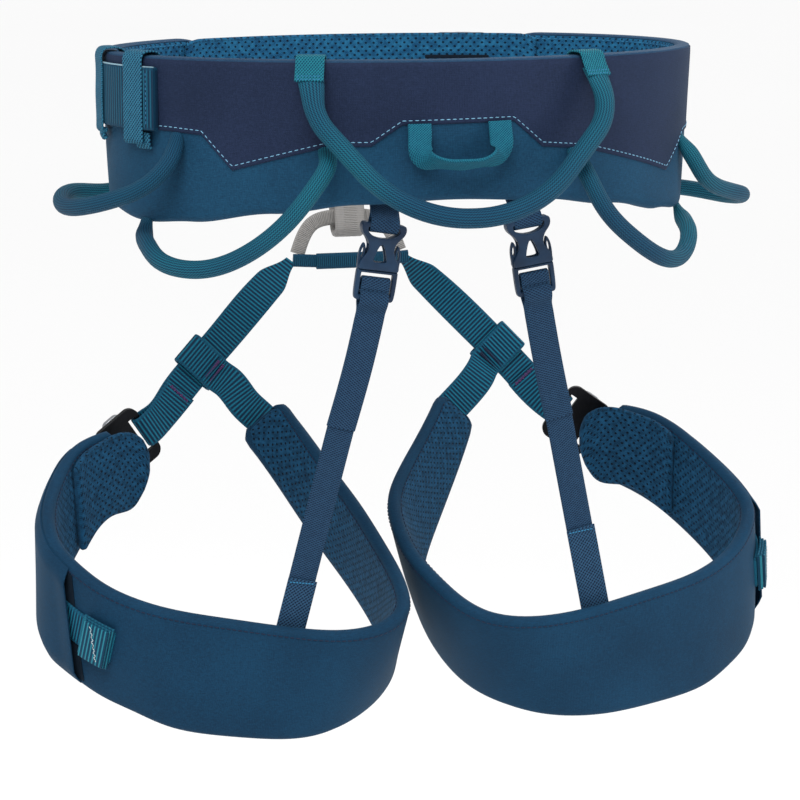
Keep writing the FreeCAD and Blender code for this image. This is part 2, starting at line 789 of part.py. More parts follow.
def build_tie_in():
    up = Vec(0, 0, 1)
    arch = vectors(((-31, 112, -86), (-28, 113, -78), (-18, 114.5, -69.5), (0, 115, -67),
                    (18, 114.5, -69.5), (28, 113, -78), (31, 112, -86)))
    add_soft("lower_tie_in_arch", ribbon(refined(arch, 16), Vec(0, 1, 0), 4.2, 11.0))
    out = size("tie_in_out")
    ends = [belt_side(100.5, 10.0, 6.4)]
    ends += [belt_side(95 - 10 * i / 6, 10.0, out) for i in range(7)]
    ends += [belt_side(79.5, 10.0, 6.8)]
    add_soft("upper_tie_in_loop", ribbon(refined(ends, 16), up, 16.0, 3.0))
    build_belay_loop()
    cross = vectors(((-35, 106.5, -90), (-16, 105.5, -91), (16, 105.5, -91), (35, 106.5, -90)))
    add_soft("leg_cross_strap", ribbon(refined(cross, 8), up, 9.0, 2.6))


def build_belay_loop():
    """A racetrack band around both tie-in points."""
    low, high = Vec(0, 115.0, -67.0), belt_side(90, 10.0, size("tie_in_out"))
    along = (low - high).normalize()
    thick = size("belay_thick")
    top, foot = high - along * 5.5, low + along * 3.0
    length = (foot - top).Length
    gap = size("belay_gap")
    add_soft("belay_loop", eye(top, Vec(1, 0, 0), along, size("belay_width"), gap, length, thick))


# ---------------------------------------------------------------- leg loops

def leg_point(point, sign):
    left, right, y, z = point
    return Vec(-left if sign < 0 else right, y, z)


def leg_edges(rim, sign):
    """Smooth top and bottom edge of the outer face, by station number."""
    count = [float(i) for i in range(len(rim))]
    edges = []
    for which in (0, 1):
        curve = Part.BSplineCurve()
        curve.interpolate(Points=[leg_point(station[which], sign) for station in rim], Parameters=count)
        edges.append(curve)
    return edges


def on_leg(edges, sign, station, drop, depth):
    """A point on the pad: drop 0 at the top edge to 1 at the foot, depth mm under the outer face."""
    top, foot = edges[0].value(station), edges[1].value(station)
    along = edges[0].tangent(station)[0] * (1 - drop) + edges[1].tangent(station)[0] * drop
    wall = (foot - top).normalize()
    inward = wall.cross(along).normalize() * sign
    return top + (foot - top) * drop + inward * depth


def leg_patch(edges, sign, stations, drops, outer, inner):
    """A layer of the pad between two stations, from one drop to another."""
    start, stop, steps = stations
    high, low = drops
    rails = [[], [], [], []]
    for i in range(steps + 1):
        station = start + (stop - start) * i / steps
        rails[0].append(on_leg(edges, sign, station, high, outer))
        rails[1].append(on_leg(edges, sign, station, low, outer))
        rails[2].append(on_leg(edges, sign, station, low, inner))
        rails[3].append(on_leg(edges, sign, station, high, inner))
    return skin(rails)


def build_leg_pad(side, sign):
    gap = size("layer_gap")
    edges = leg_edges(LEG_RIM, sign)
    whole = (0.0, len(LEG_RIM) - 1.0, 2 * (len(LEG_RIM) - 1))
    depth = 0.0
    for label, thick in (
        ("leg_shell_", size("leg_shell_thick")),
        ("leg_foam_", size("leg_foam_thick")),
        ("leg_lining_", size("leg_lining_thick")),
    ):
        add_soft(label + side, leg_patch(edges, sign, whole, (0.0, 1.0), depth, depth + thick))
        depth += thick + gap
    build_leg_tongue(side, sign, edges, depth + 1.1)


def build_leg_tongue(side, sign, edges, depth):
    """Mesh tongue: inside the lining over the end of the pad, then free ahead of it."""
    tops = [leg_point(top, sign) for top, foot in TONGUE_TIP]
    feet = [leg_point(foot, sign) for top, foot in TONGUE_TIP]
    for station in (0.25, 0.8, 1.4, 2.0):
        tops.append(on_leg(edges, sign, station, 0.03, depth))
        feet.append(on_leg(edges, sign, station, 0.97, depth))
    rails = [[], [], [], []]
    for top, foot, along, below in zip(tops, feet, tangents(tops), tangents(feet)):
        wall = (foot - top).normalize()
        rails[0].append(top)
        rails[1].append(foot)
        rails[2].append(foot + wall.cross(below).normalize() * (sign * 4.4))
        rails[3].append(top + wall.cross(along).normalize() * (sign * 4.4))
    add_soft("leg_tongue_" + side, skin(rails))


STRAP_DROPS = (0.32, 0.63)


def build_leg_strap(side, sign, bar, across, away):
    """Adjusting webbing: around the outer buckle bar, then back along the outer side of the pad."""
    edges = leg_edges(LEG_RIM, sign)
    thick, width = size("web_thick"), size("leg_web_width")
    middle = sum(STRAP_DROPS) / 2
    end = LEG_STRAP_END[side]
    path = [bar + away * 6.8]
    wides = [Vec(across)]
    for i in range(15):
        station = 0.9 + (end - 0.9) * i / 14
        path.append(on_leg(edges, sign, station, middle, -(thick / 2 + 0.5)))
        wides.append(edges[0].value(station) - edges[1].value(station))
    if wides[0].dot(wides[1]) < 0:
        wides[0] = wides[0] * -1
    loop = eye(bar, across, away, width, 5.0, 3.6, thick)
    add_soft("leg_strap_" + side, joined(loop, ribbon(path, wides, width, thick)))
    block = leg_patch(edges, sign, (end - 0.75, end - 0.05, 3), (0.27, 0.68), -6.6, -(thick + 0.8))
    add_soft("leg_strap_stop_" + side, block)
    start, stop = LEG_SLEEVE[side]
    sleeve = leg_patch(edges, sign, (start, stop, 9), (0.05, 0.95), -(thick + 1.8), -(thick + 0.9))
    add_soft("leg_sleeve_" + side, sleeve)


def riser_wide(sign):
    """Width direction of the riser webbing."""
    return Vec(-0.74, 0, -0.67 * sign)


def build_leg_buckle(side, sign):
    """Plates at the outer front of the thigh, between the riser and the adjusting webbing."""
    riser = [leg_point(point, sign) for point in RISER_PATH]
    along = Vec(-sign * 0.80, 0.16, 0.58).normalize()
    normal = Vec(sign * 0.34, 0.94, 0.0)
    normal = (normal - along * normal.dot(along)).normalize()
    across = along.cross(normal).normalize()
    centre = riser[-1] - along * 18.0
    build_plate(
        "leg_buckle_frame_" + side, dim("leg_buckle_width"), dim("leg_buckle_height"),
        dim("leg_buckle_thick"), ((23.0, 4.4, 9.6), (23.0, 4.4, -9.6)), 6.0,
        facing(centre, normal, along),
    )
    build_plate(
        "leg_buckle_slider_" + side, dim("leg_buckle_width"), dim("leg_slider_height"),
        dim("leg_buckle_thick"), ((23.0, 4.0, 0.0),), 4.0,
        facing(centre + normal * 3.5, normal, along),
    )
    thick, width = size("web_thick"), size("leg_web_width")
    loop = eye(centre + along * 13.4, across, along, width, 4.4, 2.6, thick)
    run = ribbon(refined(riser, 12), riser_wide(sign), width, thick)
    add_soft("leg_riser_" + side, joined(loop, run))
    outward = Vec(sign * 0.86, -0.40, -0.30)
    outward = (outward - across * outward.dot(across)).normalize()
    build_leg_strap(side, sign, centre - along * 13.4, across, outward)


def build_keeper_strap(side, sign):
    """Webbing from the inner end of the pad up to a sewn eye that slides on the riser."""
    thick, width = size("web_thick"), size("leg_web_width")
    path = [leg_point(point, sign) for point in KEEPER_PATH]
    riser = [leg_point(point, sign) for point in RISER_PATH]
    along = (riser[3] - riser[1]).normalize()
    cross = riser_wide(sign)
    if cross.dot(path[-1] - path[0]) < 0:
        cross = cross * -1
    cross = (cross - along * cross.dot(along)).normalize()
    centre = riser[2] + (riser[3] - riser[2]) * 0.32
    ring = eye(centre - cross * 10.4, along, cross, width, 4.0, 20.8, thick)
    run = ribbon(refined(path[:3] + [centre - cross * 13.2], 8), along, width, thick * 1.6)
    add_soft("leg_keeper_strap_" + side, joined(ring, run))


def build_leg(side, sign):
    build_leg_pad(side, sign)
    build_leg_buckle(side, sign)
    build_keeper_strap(side, sign)


def check_parts():
    document.recompute()
    for item in parts:
        states = list(item.State)
        if "Invalid" in states or "Error" in states:
            raise RuntimeError("%s: %s" % (item.Label, states))
        if item.Shape.isNull() or not item.Shape.isValid():
            raise RuntimeError("%s: bad shape" % item.Label)
        if item.Shape.Volume <= 0 or len(item.Shape.Solids) != 1:
            raise RuntimeError("%s: volume %s, solids %s" % (
                item.Label, item.Shape.Volume, len(item.Shape.Solids)))


def export_parts():
    os.makedirs("parts", exist_ok=True)
    for item in parts:
        item.Shape.exportStep("parts/%s.step" % item.Label)


fill_sheet()
build_belt()
build_waist_strap()
build_keepers()
build_waist_buckle()
build_gear_loops()
build_haul_loop()
build_tie_in()
for side_name, side_sign in SIDES:
    build_release(side_name, side_sign)
    build_elastics(side_name, side_sign)
    build_leg(side_name, side_sign)
check_parts()
export_parts()
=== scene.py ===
"""Looks of the climbing harness: pads, webbing, braided loops, stitching, buckles, light and camera."""
import bisect
import math

import bmesh
import bpy
import numpy as np
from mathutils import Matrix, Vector, noise


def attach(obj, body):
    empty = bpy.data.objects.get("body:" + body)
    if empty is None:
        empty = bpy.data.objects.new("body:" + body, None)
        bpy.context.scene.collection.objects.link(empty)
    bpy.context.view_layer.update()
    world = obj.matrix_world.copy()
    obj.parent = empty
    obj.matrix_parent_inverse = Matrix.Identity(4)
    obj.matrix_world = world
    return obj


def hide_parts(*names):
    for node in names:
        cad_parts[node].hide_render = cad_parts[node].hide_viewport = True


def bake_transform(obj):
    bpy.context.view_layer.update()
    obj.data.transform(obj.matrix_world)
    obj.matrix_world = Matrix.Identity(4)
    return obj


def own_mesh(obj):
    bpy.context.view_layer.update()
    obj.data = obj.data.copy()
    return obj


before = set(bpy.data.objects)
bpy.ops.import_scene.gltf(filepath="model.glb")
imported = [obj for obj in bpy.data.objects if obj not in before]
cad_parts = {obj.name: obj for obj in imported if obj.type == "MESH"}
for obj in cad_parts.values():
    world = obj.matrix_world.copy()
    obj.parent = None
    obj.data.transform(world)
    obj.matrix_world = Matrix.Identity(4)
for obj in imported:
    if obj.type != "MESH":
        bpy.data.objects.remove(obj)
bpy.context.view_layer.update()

MM = 0.001
SIDES = (("left", -1), ("right", 1))
UP = np.array((0.0, 0.0, 1.0))
FRONT = np.array((0.0, 1.0, 0.0))
CORD_ROUND = 2 * math.pi * 5.2
LEG_WEB_WIDTH, WAIST_WEB_WIDTH, WEB_THICK = 20.0, 33.0, 1.7
ELASTIC_WIDTH, ELASTIC_THICK = 15.6, 1.45


# ---------------------------------------------------------------- curves

def vec(*values):
    return np.array(values, float)


def unit(vector):
    return vector / max(np.linalg.norm(vector), 1e-9)


def square_to(vector, axis):
    """Unit vector: the part of vector at right angles to axis."""
    return unit(vector - axis * np.dot(vector, axis))


def facing(vector, other):
    """The vector, turned round if it points away from other."""
    return -vector if np.dot(vector, other) < 0 else vector


def knots_of(points):
    """Distance along a path at each of its points."""
    points = np.array(points)
    steps = np.linalg.norm(np.diff(points, axis=0), axis=1)
    return np.concatenate([[0.0], np.cumsum(steps)])


class Curve:
    """Natural cubic spline through points."""

    def __init__(self, points, knots=None):
        self.points = np.array([tuple(p) for p in points], float)
        self.knots = knots_of(self.points) if knots is None else np.array(knots, float)
        self.length = self.knots[-1]
        count = len(self.points)
        self.h = np.diff(self.knots)
        system = np.eye(count)
        right = np.zeros_like(self.points)
        for i in range(1, count - 1):
            system[i, i - 1:i + 2] = self.h[i - 1], 2 * (self.h[i - 1] + self.h[i]), self.h[i]
            ahead = (self.points[i + 1] - self.points[i]) / self.h[i]
            back = (self.points[i] - self.points[i - 1]) / self.h[i - 1]
            right[i] = 6 * (ahead - back)
        self.second = np.linalg.solve(system, right)

    def at(self, t):
        i = min(max(bisect.bisect_right(list(self.knots), t) - 1, 0), len(self.points) - 2)
        h = self.h[i]
        a = (self.knots[i + 1] - t) / h
        b = (t - self.knots[i]) / h
        bend = (a ** 3 - a) * self.second[i] + (b ** 3 - b) * self.second[i + 1]
        return a * self.points[i] + b * self.points[i + 1] + bend * h * h / 6

    def tangent(self, t):
        d = max(self.length * 1e-4, 1e-6)
        return unit(self.at(min(t + d, self.length)) - self.at(max(t - d, 0.0)))


def refined(points, step=2.0):
    curve = Curve(points)
    count = max(2, int(round(curve.length / step)))
    return [curve.at(curve.length * i / count) for i in range(count + 1)]


def directions(points):
    last = len(points) - 1
    return [unit(points[min(i + 1, last)] - points[max(i - 1, 0)]) for i in range(last + 1)]


def ease(share):
    share = min(max(share, 0.0), 1.0)
    return share * share * (3 - 2 * share)


# ---------------------------------------------------------------- meshes

def tube_faces(first, rings, count):
    """Side faces of a tube of rings with count points each, then its two caps."""
    faces = []
    for start in range(first, first + (rings - 1) * count, count):
        for j in range(count):
            k = (j + 1) % count
            faces.append((start + j, start + k, start + count + k, start + count + j))
    last = first + (rings - 1) * count
    return faces + [tuple(range(first + count - 1, first - 1, -1)), tuple(range(last, last + count))]


def build_mesh(name, rings, uvs, material):
    """Joins rings of points, in mm; uvs has a (u, v) in metres for each point and one more."""
    count = len(rings[0])
    loops = []
    for near, far in zip(uvs, uvs[1:]):
        for j in range(count):
            loops += [near[j], near[j + 1], far[j + 1], far[j]]
    loops += uvs[0][:count][::-1] + uvs[-1][:count]
    mesh = bpy.data.meshes.new(name)
    mesh.from_pydata([tuple(p * MM) for ring in rings for p in ring], [], tube_faces(0, len(rings), count))
    mesh.uv_layers.new(name="UVMap").data.foreach_set("uv", np.array(loops, np.float32).ravel())
    return add_object(name, mesh, material, 50)


def add_object(name, mesh, material, sharp):
    """Puts a closed mesh in the scene, smooth but for edges sharper than sharp degrees."""
    mesh.materials.append(material)
    mesh.shade_smooth()
    mesh.set_sharp_from_angle(angle=math.radians(sharp))
    volume = 0.0
    for polygon in mesh.polygons:
        corners = [mesh.vertices[i].co for i in polygon.vertices]
        for b, c in zip(corners[1:], corners[2:]):
            volume += corners[0].dot(b.cross(c))
    if volume < 0:
        mesh.flip_normals()
    obj = bpy.data.objects.new(name, mesh)
    bpy.context.scene.collection.objects.link(obj)
    return obj


def place(obj, body, slot, *nodes, soft=None):
    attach(obj, body)
    if nodes:
        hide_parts(*nodes)
    return obj


def flat_section(width, thick):
    """Rounded rectangle as (s, n) pairs, counter-clockwise."""
    radius = min(thick * 0.48, width * 0.2)
    half_w, half_t = width / 2 - radius, thick / 2
    points = []
    for side in (1, -1):
        points += [(side * half_w * (1 - k / 3), side * half_t) for k in range(7)]
        for turn in (math.pi / 4, math.pi / 2, math.pi * 3 / 4):
            points.append((-side * (half_w + radius * math.sin(turn)), side * half_t * math.cos(turn)))
    return points


def sweep(name, points, sides, section, material, around=None):
    """Carries a section along points; section is a list or a function of the distance along them."""
    rings, uvs = [], []
    for point, tangent, side, at in zip(points, directions(points), sides, knots_of(points)):
        side = square_to(side, tangent)
        normal = unit(np.cross(tangent, side))
        shape = section(at) if callable(section) else section
        rings.append([point + side * s + normal * n for s, n in shape])
        if around is None:
            line = [(at * MM, s * MM) for s, n in shape + shape[:1]]
        else:
            line = [(at * MM, around * MM * j / len(shape)) for j in range(len(shape) + 1)]
        uvs.append(line)
    return build_mesh(name, rings, uvs, material)


def webbing(name, points, across, width, thick, material, step=2.0, narrow=(1.0, 1.0)):
    """A flat strap along points.

    across is one direction or one for each point.
    narrow is the length of a narrower start and its share of the width.
    """
    path = Curve(points)
    turn = Curve(across if isinstance(across, list) else [across] * len(points), path.knots)
    count = max(2, int(round(path.length / step)))
    stops = [path.length * i / count for i in range(count + 1)]

    def section(at):
        return flat_section(width * (narrow[1] + (1 - narrow[1]) * ease(at / narrow[0])), thick)

    return sweep(name, [path.at(t) for t in stops], [turn.at(t) for t in stops], section, material)


def arc_points(centre, start, toward, turn, steps):
    """Points turned about centre from start (offset) towards the second offset, by turn radians."""
    return [centre + start * math.cos(turn * i / steps) + toward * math.sin(turn * i / steps)
            for i in range(steps + 1)]


def rounded_path(points, radii, step=2.5):
    """Straight runs joined by tangent arcs, sampled."""
    path = [points[0]]
    for before, corner, after, radius in zip(points, points[1:], points[2:], radii):
        back, ahead = unit(before - corner), unit(after - corner)
        half = math.acos(max(-1.0, min(1.0, float(np.dot(back, ahead))))) / 2
        inward = unit(back + ahead)
        centre = corner + inward * (radius / math.sin(half))
        first = corner + back * (radius / math.tan(half))
        second = corner + ahead * (radius / math.tan(half))
        path += straight(path[-1], first, step)
        a, b = unit(first - centre), unit(second - centre)
        sweep_angle = math.pi - 2 * half
        c = square_to(b, a)
        steps = max(3, int(radius * sweep_angle / step))
        for i in range(1, steps + 1):
            turn = sweep_angle * i / steps
            path.append(centre + (a * math.cos(turn) + c * math.sin(turn)) * radius)
    path += straight(path[-1], points[-1], step)
    return path


def straight(start, stop, step):
    count = int(np.linalg.norm(stop - start) / step)
    return [start + (stop - start) * i / max(count, 1) for i in range(1, max(count, 1) + 1)]


# ---------------------------------------------------------------- shader graphs

def tone(code):
    """Linear colour from a written sRGB code."""
    result = []
    for i in (0, 2, 4):
        c = int(code[i:i + 2], 16) / 255
        result.append(c / 12.92 if c <= 0.04045 else ((c + 0.055) / 1.055) ** 2.4)
    return (*result, 1.0)


class Graph:
    """Short hand for shader nodes of one material."""

    def __init__(self, name, roughness=0.6, **settings):
        self.material = bpy.data.materials.new(name)
        self.material.use_nodes = True
        self.tree = self.material.node_tree
        self.tree.nodes.clear()
        self.out = self.tree.nodes.new("ShaderNodeOutputMaterial")
        self.shader = self.tree.nodes.new("ShaderNodeBsdfPrincipled")
        self.shader.inputs["Roughness"].default_value = roughness
        self.shader.inputs["Sheen Tint"].default_value = (0.35, 0.6, 0.8, 1.0)
        for key, value in settings.items():
            self.shader.inputs[key.replace("_", " ")].default_value = value
        self.link(self.shader.outputs[0], self.out.inputs["Surface"])

    def link(self, source, target):
        self.tree.links.new(source, target)

    def feed(self, value, socket):
        if isinstance(value, bpy.types.NodeSocket):
            self.link(value, socket)
        else:
            socket.default_value = value

    def calc(self, operation, a, b=0.0, c=0.0, clamp=False):
        node = self.tree.nodes.new("ShaderNodeMath")
        node.operation = operation
        node.use_clamp = clamp
        for value, socket in zip((a, b, c), node.inputs):
            self.feed(value, socket)
        return node.outputs[0]

    def add(self, a, b):
        return self.calc("ADD", a, b)

    def times(self, a, b):
        return self.calc("MULTIPLY", a, b)

    def wave(self, value, period):
        """Sine of the value, from 0 to 1, that repeats each period."""
        return self.calc("MULTIPLY_ADD", self.calc("SINE", self.times(value, 2 * math.pi / period)), 0.5, 0.5)

    def step(self, value, low, high):
        node = self.tree.nodes.new("ShaderNodeMapRange")
        node.interpolation_type = "SMOOTHSTEP"
        self.feed(value, node.inputs["Value"])
        node.inputs["From Min"].default_value = low
        node.inputs["From Max"].default_value = high
        return node.outputs["Result"]

    def uv(self):
        node = self.tree.nodes.new("ShaderNodeUVMap")
        node.uv_map = "UVMap"
        split = self.tree.nodes.new("ShaderNodeSeparateXYZ")
        self.link(node.outputs[0], split.inputs[0])
        return split.outputs[0], split.outputs[1]

    def noise(self, scale, detail=3.0, stretch=(1, 1, 1)):
        mapping = self.tree.nodes.new("ShaderNodeMapping")
        mapping.inputs["Scale"].default_value = stretch
        place = self.tree.nodes.new("ShaderNodeTexCoord").outputs["Object"]
        self.link(place, mapping.inputs["Vector"])
        node = self.tree.nodes.new("ShaderNodeTexNoise")
        node.inputs["Scale"].default_value = scale
        node.inputs["Detail"].default_value = detail
        self.link(mapping.outputs[0], node.inputs["Vector"])
        return node.outputs["Fac"]

    def blend(self, share, first, second):
        node = self.tree.nodes.new("ShaderNodeMix")
        node.data_type = "RGBA"
        colours = [socket for socket in node.inputs if socket.type == "RGBA"]
        self.feed(share, node.inputs[0])
        self.feed(first, colours[0])
        self.feed(second, colours[1])
        return [socket for socket in node.outputs if socket.type == "RGBA"][0]

    def colour(self, value):
        self.feed(value, self.shader.inputs["Base Color"])

    def bump(self, height, distance, strength=1.0):
        node = self.tree.nodes.new("ShaderNodeBump")
        node.inputs["Distance"].default_value = distance
        node.inputs["Strength"].default_value = strength
        self.feed(height, node.inputs["Height"])
        self.link(node.outputs[0], self.shader.inputs["Normal"])

    def rough(self, value):
        self.feed(value, self.shader.inputs["Roughness"])


def cloth_material(name, base, light, weave=0.0009, bump=0.0001):
    """Plain woven cloth with slubs and a faint heather."""
    g = Graph(name, 0.8, Specular_IOR_Level=0.12, Sheen_Weight=0.06, Sheen_Roughness=0.5)
    u, v = g.uv()
    threads = g.times(g.wave(u, weave), g.wave(v, weave))
    slub = g.add(g.times(g.noise(420, 2, (1, 1, 9)), 0.5), g.times(g.noise(420, 2, (9, 9, 1)), 0.5))
    broad = g.noise(22, 3)
    share = g.step(g.add(g.times(slub, 0.75), g.times(broad, 0.25)), 0.36, 0.66)
    g.colour(g.blend(share, tone(base), tone(light)))
    g.bump(g.add(g.times(threads, 0.6), slub), bump, 0.7)
    g.rough(g.calc("MULTIPLY_ADD", slub, 0.25, 0.6))
    return g.material


def mesh_material(name, base, light, hole, pitch=0.0046):
    """Spacer mesh: staggered rows of small dark holes in a fine knit."""
    g = Graph(name, 0.85, Specular_IOR_Level=0.1, Sheen_Weight=0.06, Sheen_Roughness=0.5)
    u, v = g.uv()
    row = g.times(v, 1 / (pitch * 0.5))
    row_index = g.calc("FLOOR", row)
    shift = g.times(g.calc("MODULO", g.calc("ABSOLUTE", row_index), 2.0), 0.5)
    across = g.calc("SUBTRACT", g.calc("FRACT", g.add(g.times(u, 1 / pitch), shift)), 0.5)
    along = g.times(g.calc("SUBTRACT", g.calc("FRACT", row), 0.5), 0.5)
    away = g.calc("SQRT", g.add(g.times(across, across), g.times(g.times(along, along), 1.5)))
    hollow = g.calc("SUBTRACT", 1.0, g.step(away, 0.11, 0.2))
    knit = g.times(g.wave(g.add(u, v), 0.0011), g.wave(g.calc("SUBTRACT", u, v), 0.0011))
    fuzz = g.noise(350, 3)
    ground = g.blend(g.step(g.add(g.times(knit, 0.35), fuzz), 0.35, 0.85), tone(base), tone(light))
    g.colour(g.blend(g.times(hollow, 0.92), ground, tone(hole)))
    height = g.calc("SUBTRACT", g.add(g.times(knit, 0.2), g.times(fuzz, 0.25)), hollow)
    g.bump(height, 0.0006, 0.8)
    return g.material


def web_material(name, base, light, dark, rib=0.0021, half=0.0100, lines=0.0, slant=0.0):
    """Woven strap: cross ribs, plain selvages, fine threads along it."""
    g = Graph(name, 0.68, Specular_IOR_Level=0.16, Sheen_Weight=0.05, Sheen_Roughness=0.5)
    u, v = g.uv()
    edge = g.step(g.calc("ABSOLUTE", v), half - 0.0019, half - 0.0014)
    rib_wave = g.wave(g.calc("MULTIPLY_ADD", g.calc("ABSOLUTE", v), slant, u), rib)
    flat = g.times(edge, 0.75)
    ribs = g.add(g.times(rib_wave, g.calc("SUBTRACT", 1.0, flat)), g.times(flat, 0.62))
    threads = g.times(g.wave(u, 0.0008), g.wave(v, 0.0007))
    fuzz = g.noise(500, 2)
    height = g.calc("MULTIPLY_ADD", ribs, 1.0, g.times(threads, 0.25))
    share = g.step(g.add(g.times(ribs, 0.8), g.times(fuzz, 0.25)), 0.15, 0.85)
    shade = g.blend(share, tone(dark), tone(base))
    if lines:
        stripes = g.step(g.wave(v, lines), 0.62, 0.9)
        shade = g.blend(g.times(stripes, 0.55), shade, tone(light))
        height = g.add(height, g.times(stripes, 0.3))
    else:
        shade = g.blend(g.times(g.step(ribs, 0.6, 1.0), 0.5), shade, tone(light))
    g.colour(shade)
    g.bump(height, 0.00035, 0.8)
    return g.material


def twill_material(name, base, light, pitch=0.0016, slope=1.0, bump=0.0003):
    """Herringbone or diagonal weave, as on elastic tape."""
    g = Graph(name, 0.75, Specular_IOR_Level=0.14, Sheen_Weight=0.05)
    u, v = g.uv()
    first = g.wave(g.calc("MULTIPLY_ADD", v, slope, u), pitch)
    second = g.wave(g.calc("MULTIPLY_ADD", v, -slope, u), pitch)
    grid = g.calc("MAXIMUM", g.times(first, 0.9), g.times(second, 0.75))
    fuzz = g.noise(450, 2)
    share = g.step(g.add(grid, g.times(fuzz, 0.3)), 0.45, 1.15)
    g.colour(g.blend(share, tone(base), tone(light)))
    g.bump(grid, bump, 0.8)
    return g.material


def sheath_material(name, base, light, dark, around, wales=22):
    """Braided sheath: plaits that cross at a low angle, seen as lines along the cord."""
    g = Graph(name, 0.68, Specular_IOR_Level=0.16, Sheen_Weight=0.05)
    u, v = g.uv()
    pitch = around / wales
    columns = g.wave(v, pitch)
    chevron = g.calc("ABSOLUTE", g.calc("SUBTRACT", g.calc("FRACT", g.times(v, 1 / pitch)), 0.5))
    plait = g.wave(g.calc("MULTIPLY_ADD", chevron, pitch * 1.6, u), 0.0015)
    height = g.add(g.times(columns, 0.55), g.times(plait, 0.5))
    broad = g.step(g.noise(9, 2), 0.35, 0.65)
    ground = g.blend(broad, tone(base), tone(light))
    g.colour(g.blend(g.step(height, 0.15, 0.75), tone(dark), ground))
    g.bump(height, 0.00035, 0.9)
    return g.material


def thread_material(name, base):
    g = Graph(name, 0.6, Specular_IOR_Level=0.2, Sheen_Weight=0.08)
    g.colour(g.blend(g.noise(900, 2), tone(base), (*[min(1.0, c * 1.5) for c in tone(base)[:3]], 1.0)))
    g.bump(g.noise(1500, 2), 0.0001, 0.5)
    return g.material


def plastic_material(name, base, light):
    """Moulded acetal: fine spark-eroded grain, soft edges."""
    g = Graph(name, 0.45, Specular_IOR_Level=0.3)
    grain = g.noise(1600, 2)
    broad = g.noise(60, 3)
    g.colour(g.blend(g.step(broad, 0.35, 0.7), tone(base), tone(light)))
    g.rough(g.calc("MULTIPLY_ADD", broad, 0.18, 0.33))
    rounded(g, grain, 0.00003, 0.0006)
    return g.material


def metal_material(name, base, light, metallic, roughness, worn=0.0):
    g = Graph(name, roughness, Metallic=metallic)
    brushed = g.noise(240, 3, (1, 14, 1))
    scuffs = g.step(g.noise(90, 5), 0.62, 0.75)
    share = g.calc("MULTIPLY_ADD", scuffs, worn, g.times(brushed, 0.3), clamp=True)
    g.colour(g.blend(share, tone(base), tone(light)))
    g.rough(g.calc("MULTIPLY_ADD", brushed, 0.2, roughness - 0.08))
    rounded(g, brushed, 0.00002, 0.0007)
    return g.material


def rounded(g, height, distance, radius):
    """A bump on top of softened edges."""
    bevel = g.tree.nodes.new("ShaderNodeBevel")
    bevel.samples = 6
    bevel.inputs["Radius"].default_value = radius
    node = g.tree.nodes.new("ShaderNodeBump")
    node.inputs["Distance"].default_value = distance
    g.feed(height, node.inputs["Height"])
    g.link(bevel.outputs[0], node.inputs["Normal"])
    g.link(node.outputs[0], g.shader.inputs["Normal"])


YOKE = cloth_material("yoke_cloth", "172239", "232f4b")
SHELL = cloth_material("shell_cloth", "113650", "1b4b69")
LEG_SHELL = cloth_material("leg_shell_cloth", "0a2b43", "113c59")
LINING = mesh_material("mesh_lining", "124063", "266c93", "041120")
# A darker copy of the mesh lining for the leg loops: painted shade on their inner side.
LEG_LINING_SHADED = mesh_material("leg_mesh_lining_shaded", "0f2f47", "1c4f72", "030c17")
BINDING = cloth_material("binding_tape", "1c3550", "274a69", 0.0011, 0.00012)
WEB = web_material("leg_webbing", "0b526d", "158199", "04243c")
WAIST_WEB = web_material("waist_webbing", "0a3f59", "166a80", "06263e", 0.0024, 0.0165)
HAUL_WEB = twill_material("haul_webbing", "0b3f5a", "1d7386", 0.0013, 0.9)
GREY_WEB = web_material("wear_webbing", "989592", "b4b1ad", "817e7b", 0.0010, 0.0055)
ELASTIC = twill_material("elastic_tape", "0e2138", "294a68", 0.0014, 0.6)
LAP = twill_material("elastic_lap", "0c1d33", "2f5575", 0.0021, 1.0)
KEEPER = twill_material("keeper_elastic", "0c2f4a", "347a96", 0.0021, 1.0, 0.0004)
TAB = twill_material("loop_tab", "093f58", "22808f", 0.0020, 1.3, 0.0005)
SHEATH = sheath_material("loop_sheath", "114a67", "176d80", "052038", CORD_ROUND * MM)
PALE_THREAD = thread_material("pale_thread", "6d9cb8")
BLUE_THREAD = thread_material("blue_thread", "2f6f95")
PURPLE_THREAD = thread_material("purple_thread", "4a2c56")
DARK_THREAD = thread_material("dark_thread", "141c33")
# Near-black cloth for painted shade: the gap in the tongue's slot and the sleeve's open end.
SHADE_CLOTH = cloth_material("painted_shade_cloth", "07111c", "0c1a29")
PALE_YARN = thread_material("pale_yarn", "a9b6ba")
# Pale colour for the waist strap's top edge: a pale edge yarn with painted highlight where the edge catches
# light.
RIM_YARN_AND_HIGHLIGHT = thread_material("rim_yarn_and_highlight", "7b98a6")
TEAL_DARK = web_material("cross_webbing", "0b3f59", "15637a", "07293f", 0.0012, 0.0042)
STOP_WEB = web_material("strap_end_webbing", "0b4f68", "3a9fae", "06314a", 0.0023, 0.0130)
PLASTIC = plastic_material("buckle_plastic", "0e243c", "163450")
DARK_ALLOY = metal_material("dark_alloy", "08090c", "30333a", 0.7, 0.4, 0.25)
BRIGHT_ALLOY = metal_material("bright_alloy", "a9acb2", "e3e5e8", 1.0, 0.3, 0.4)


# ---------------------------------------------------------------- the waist belt

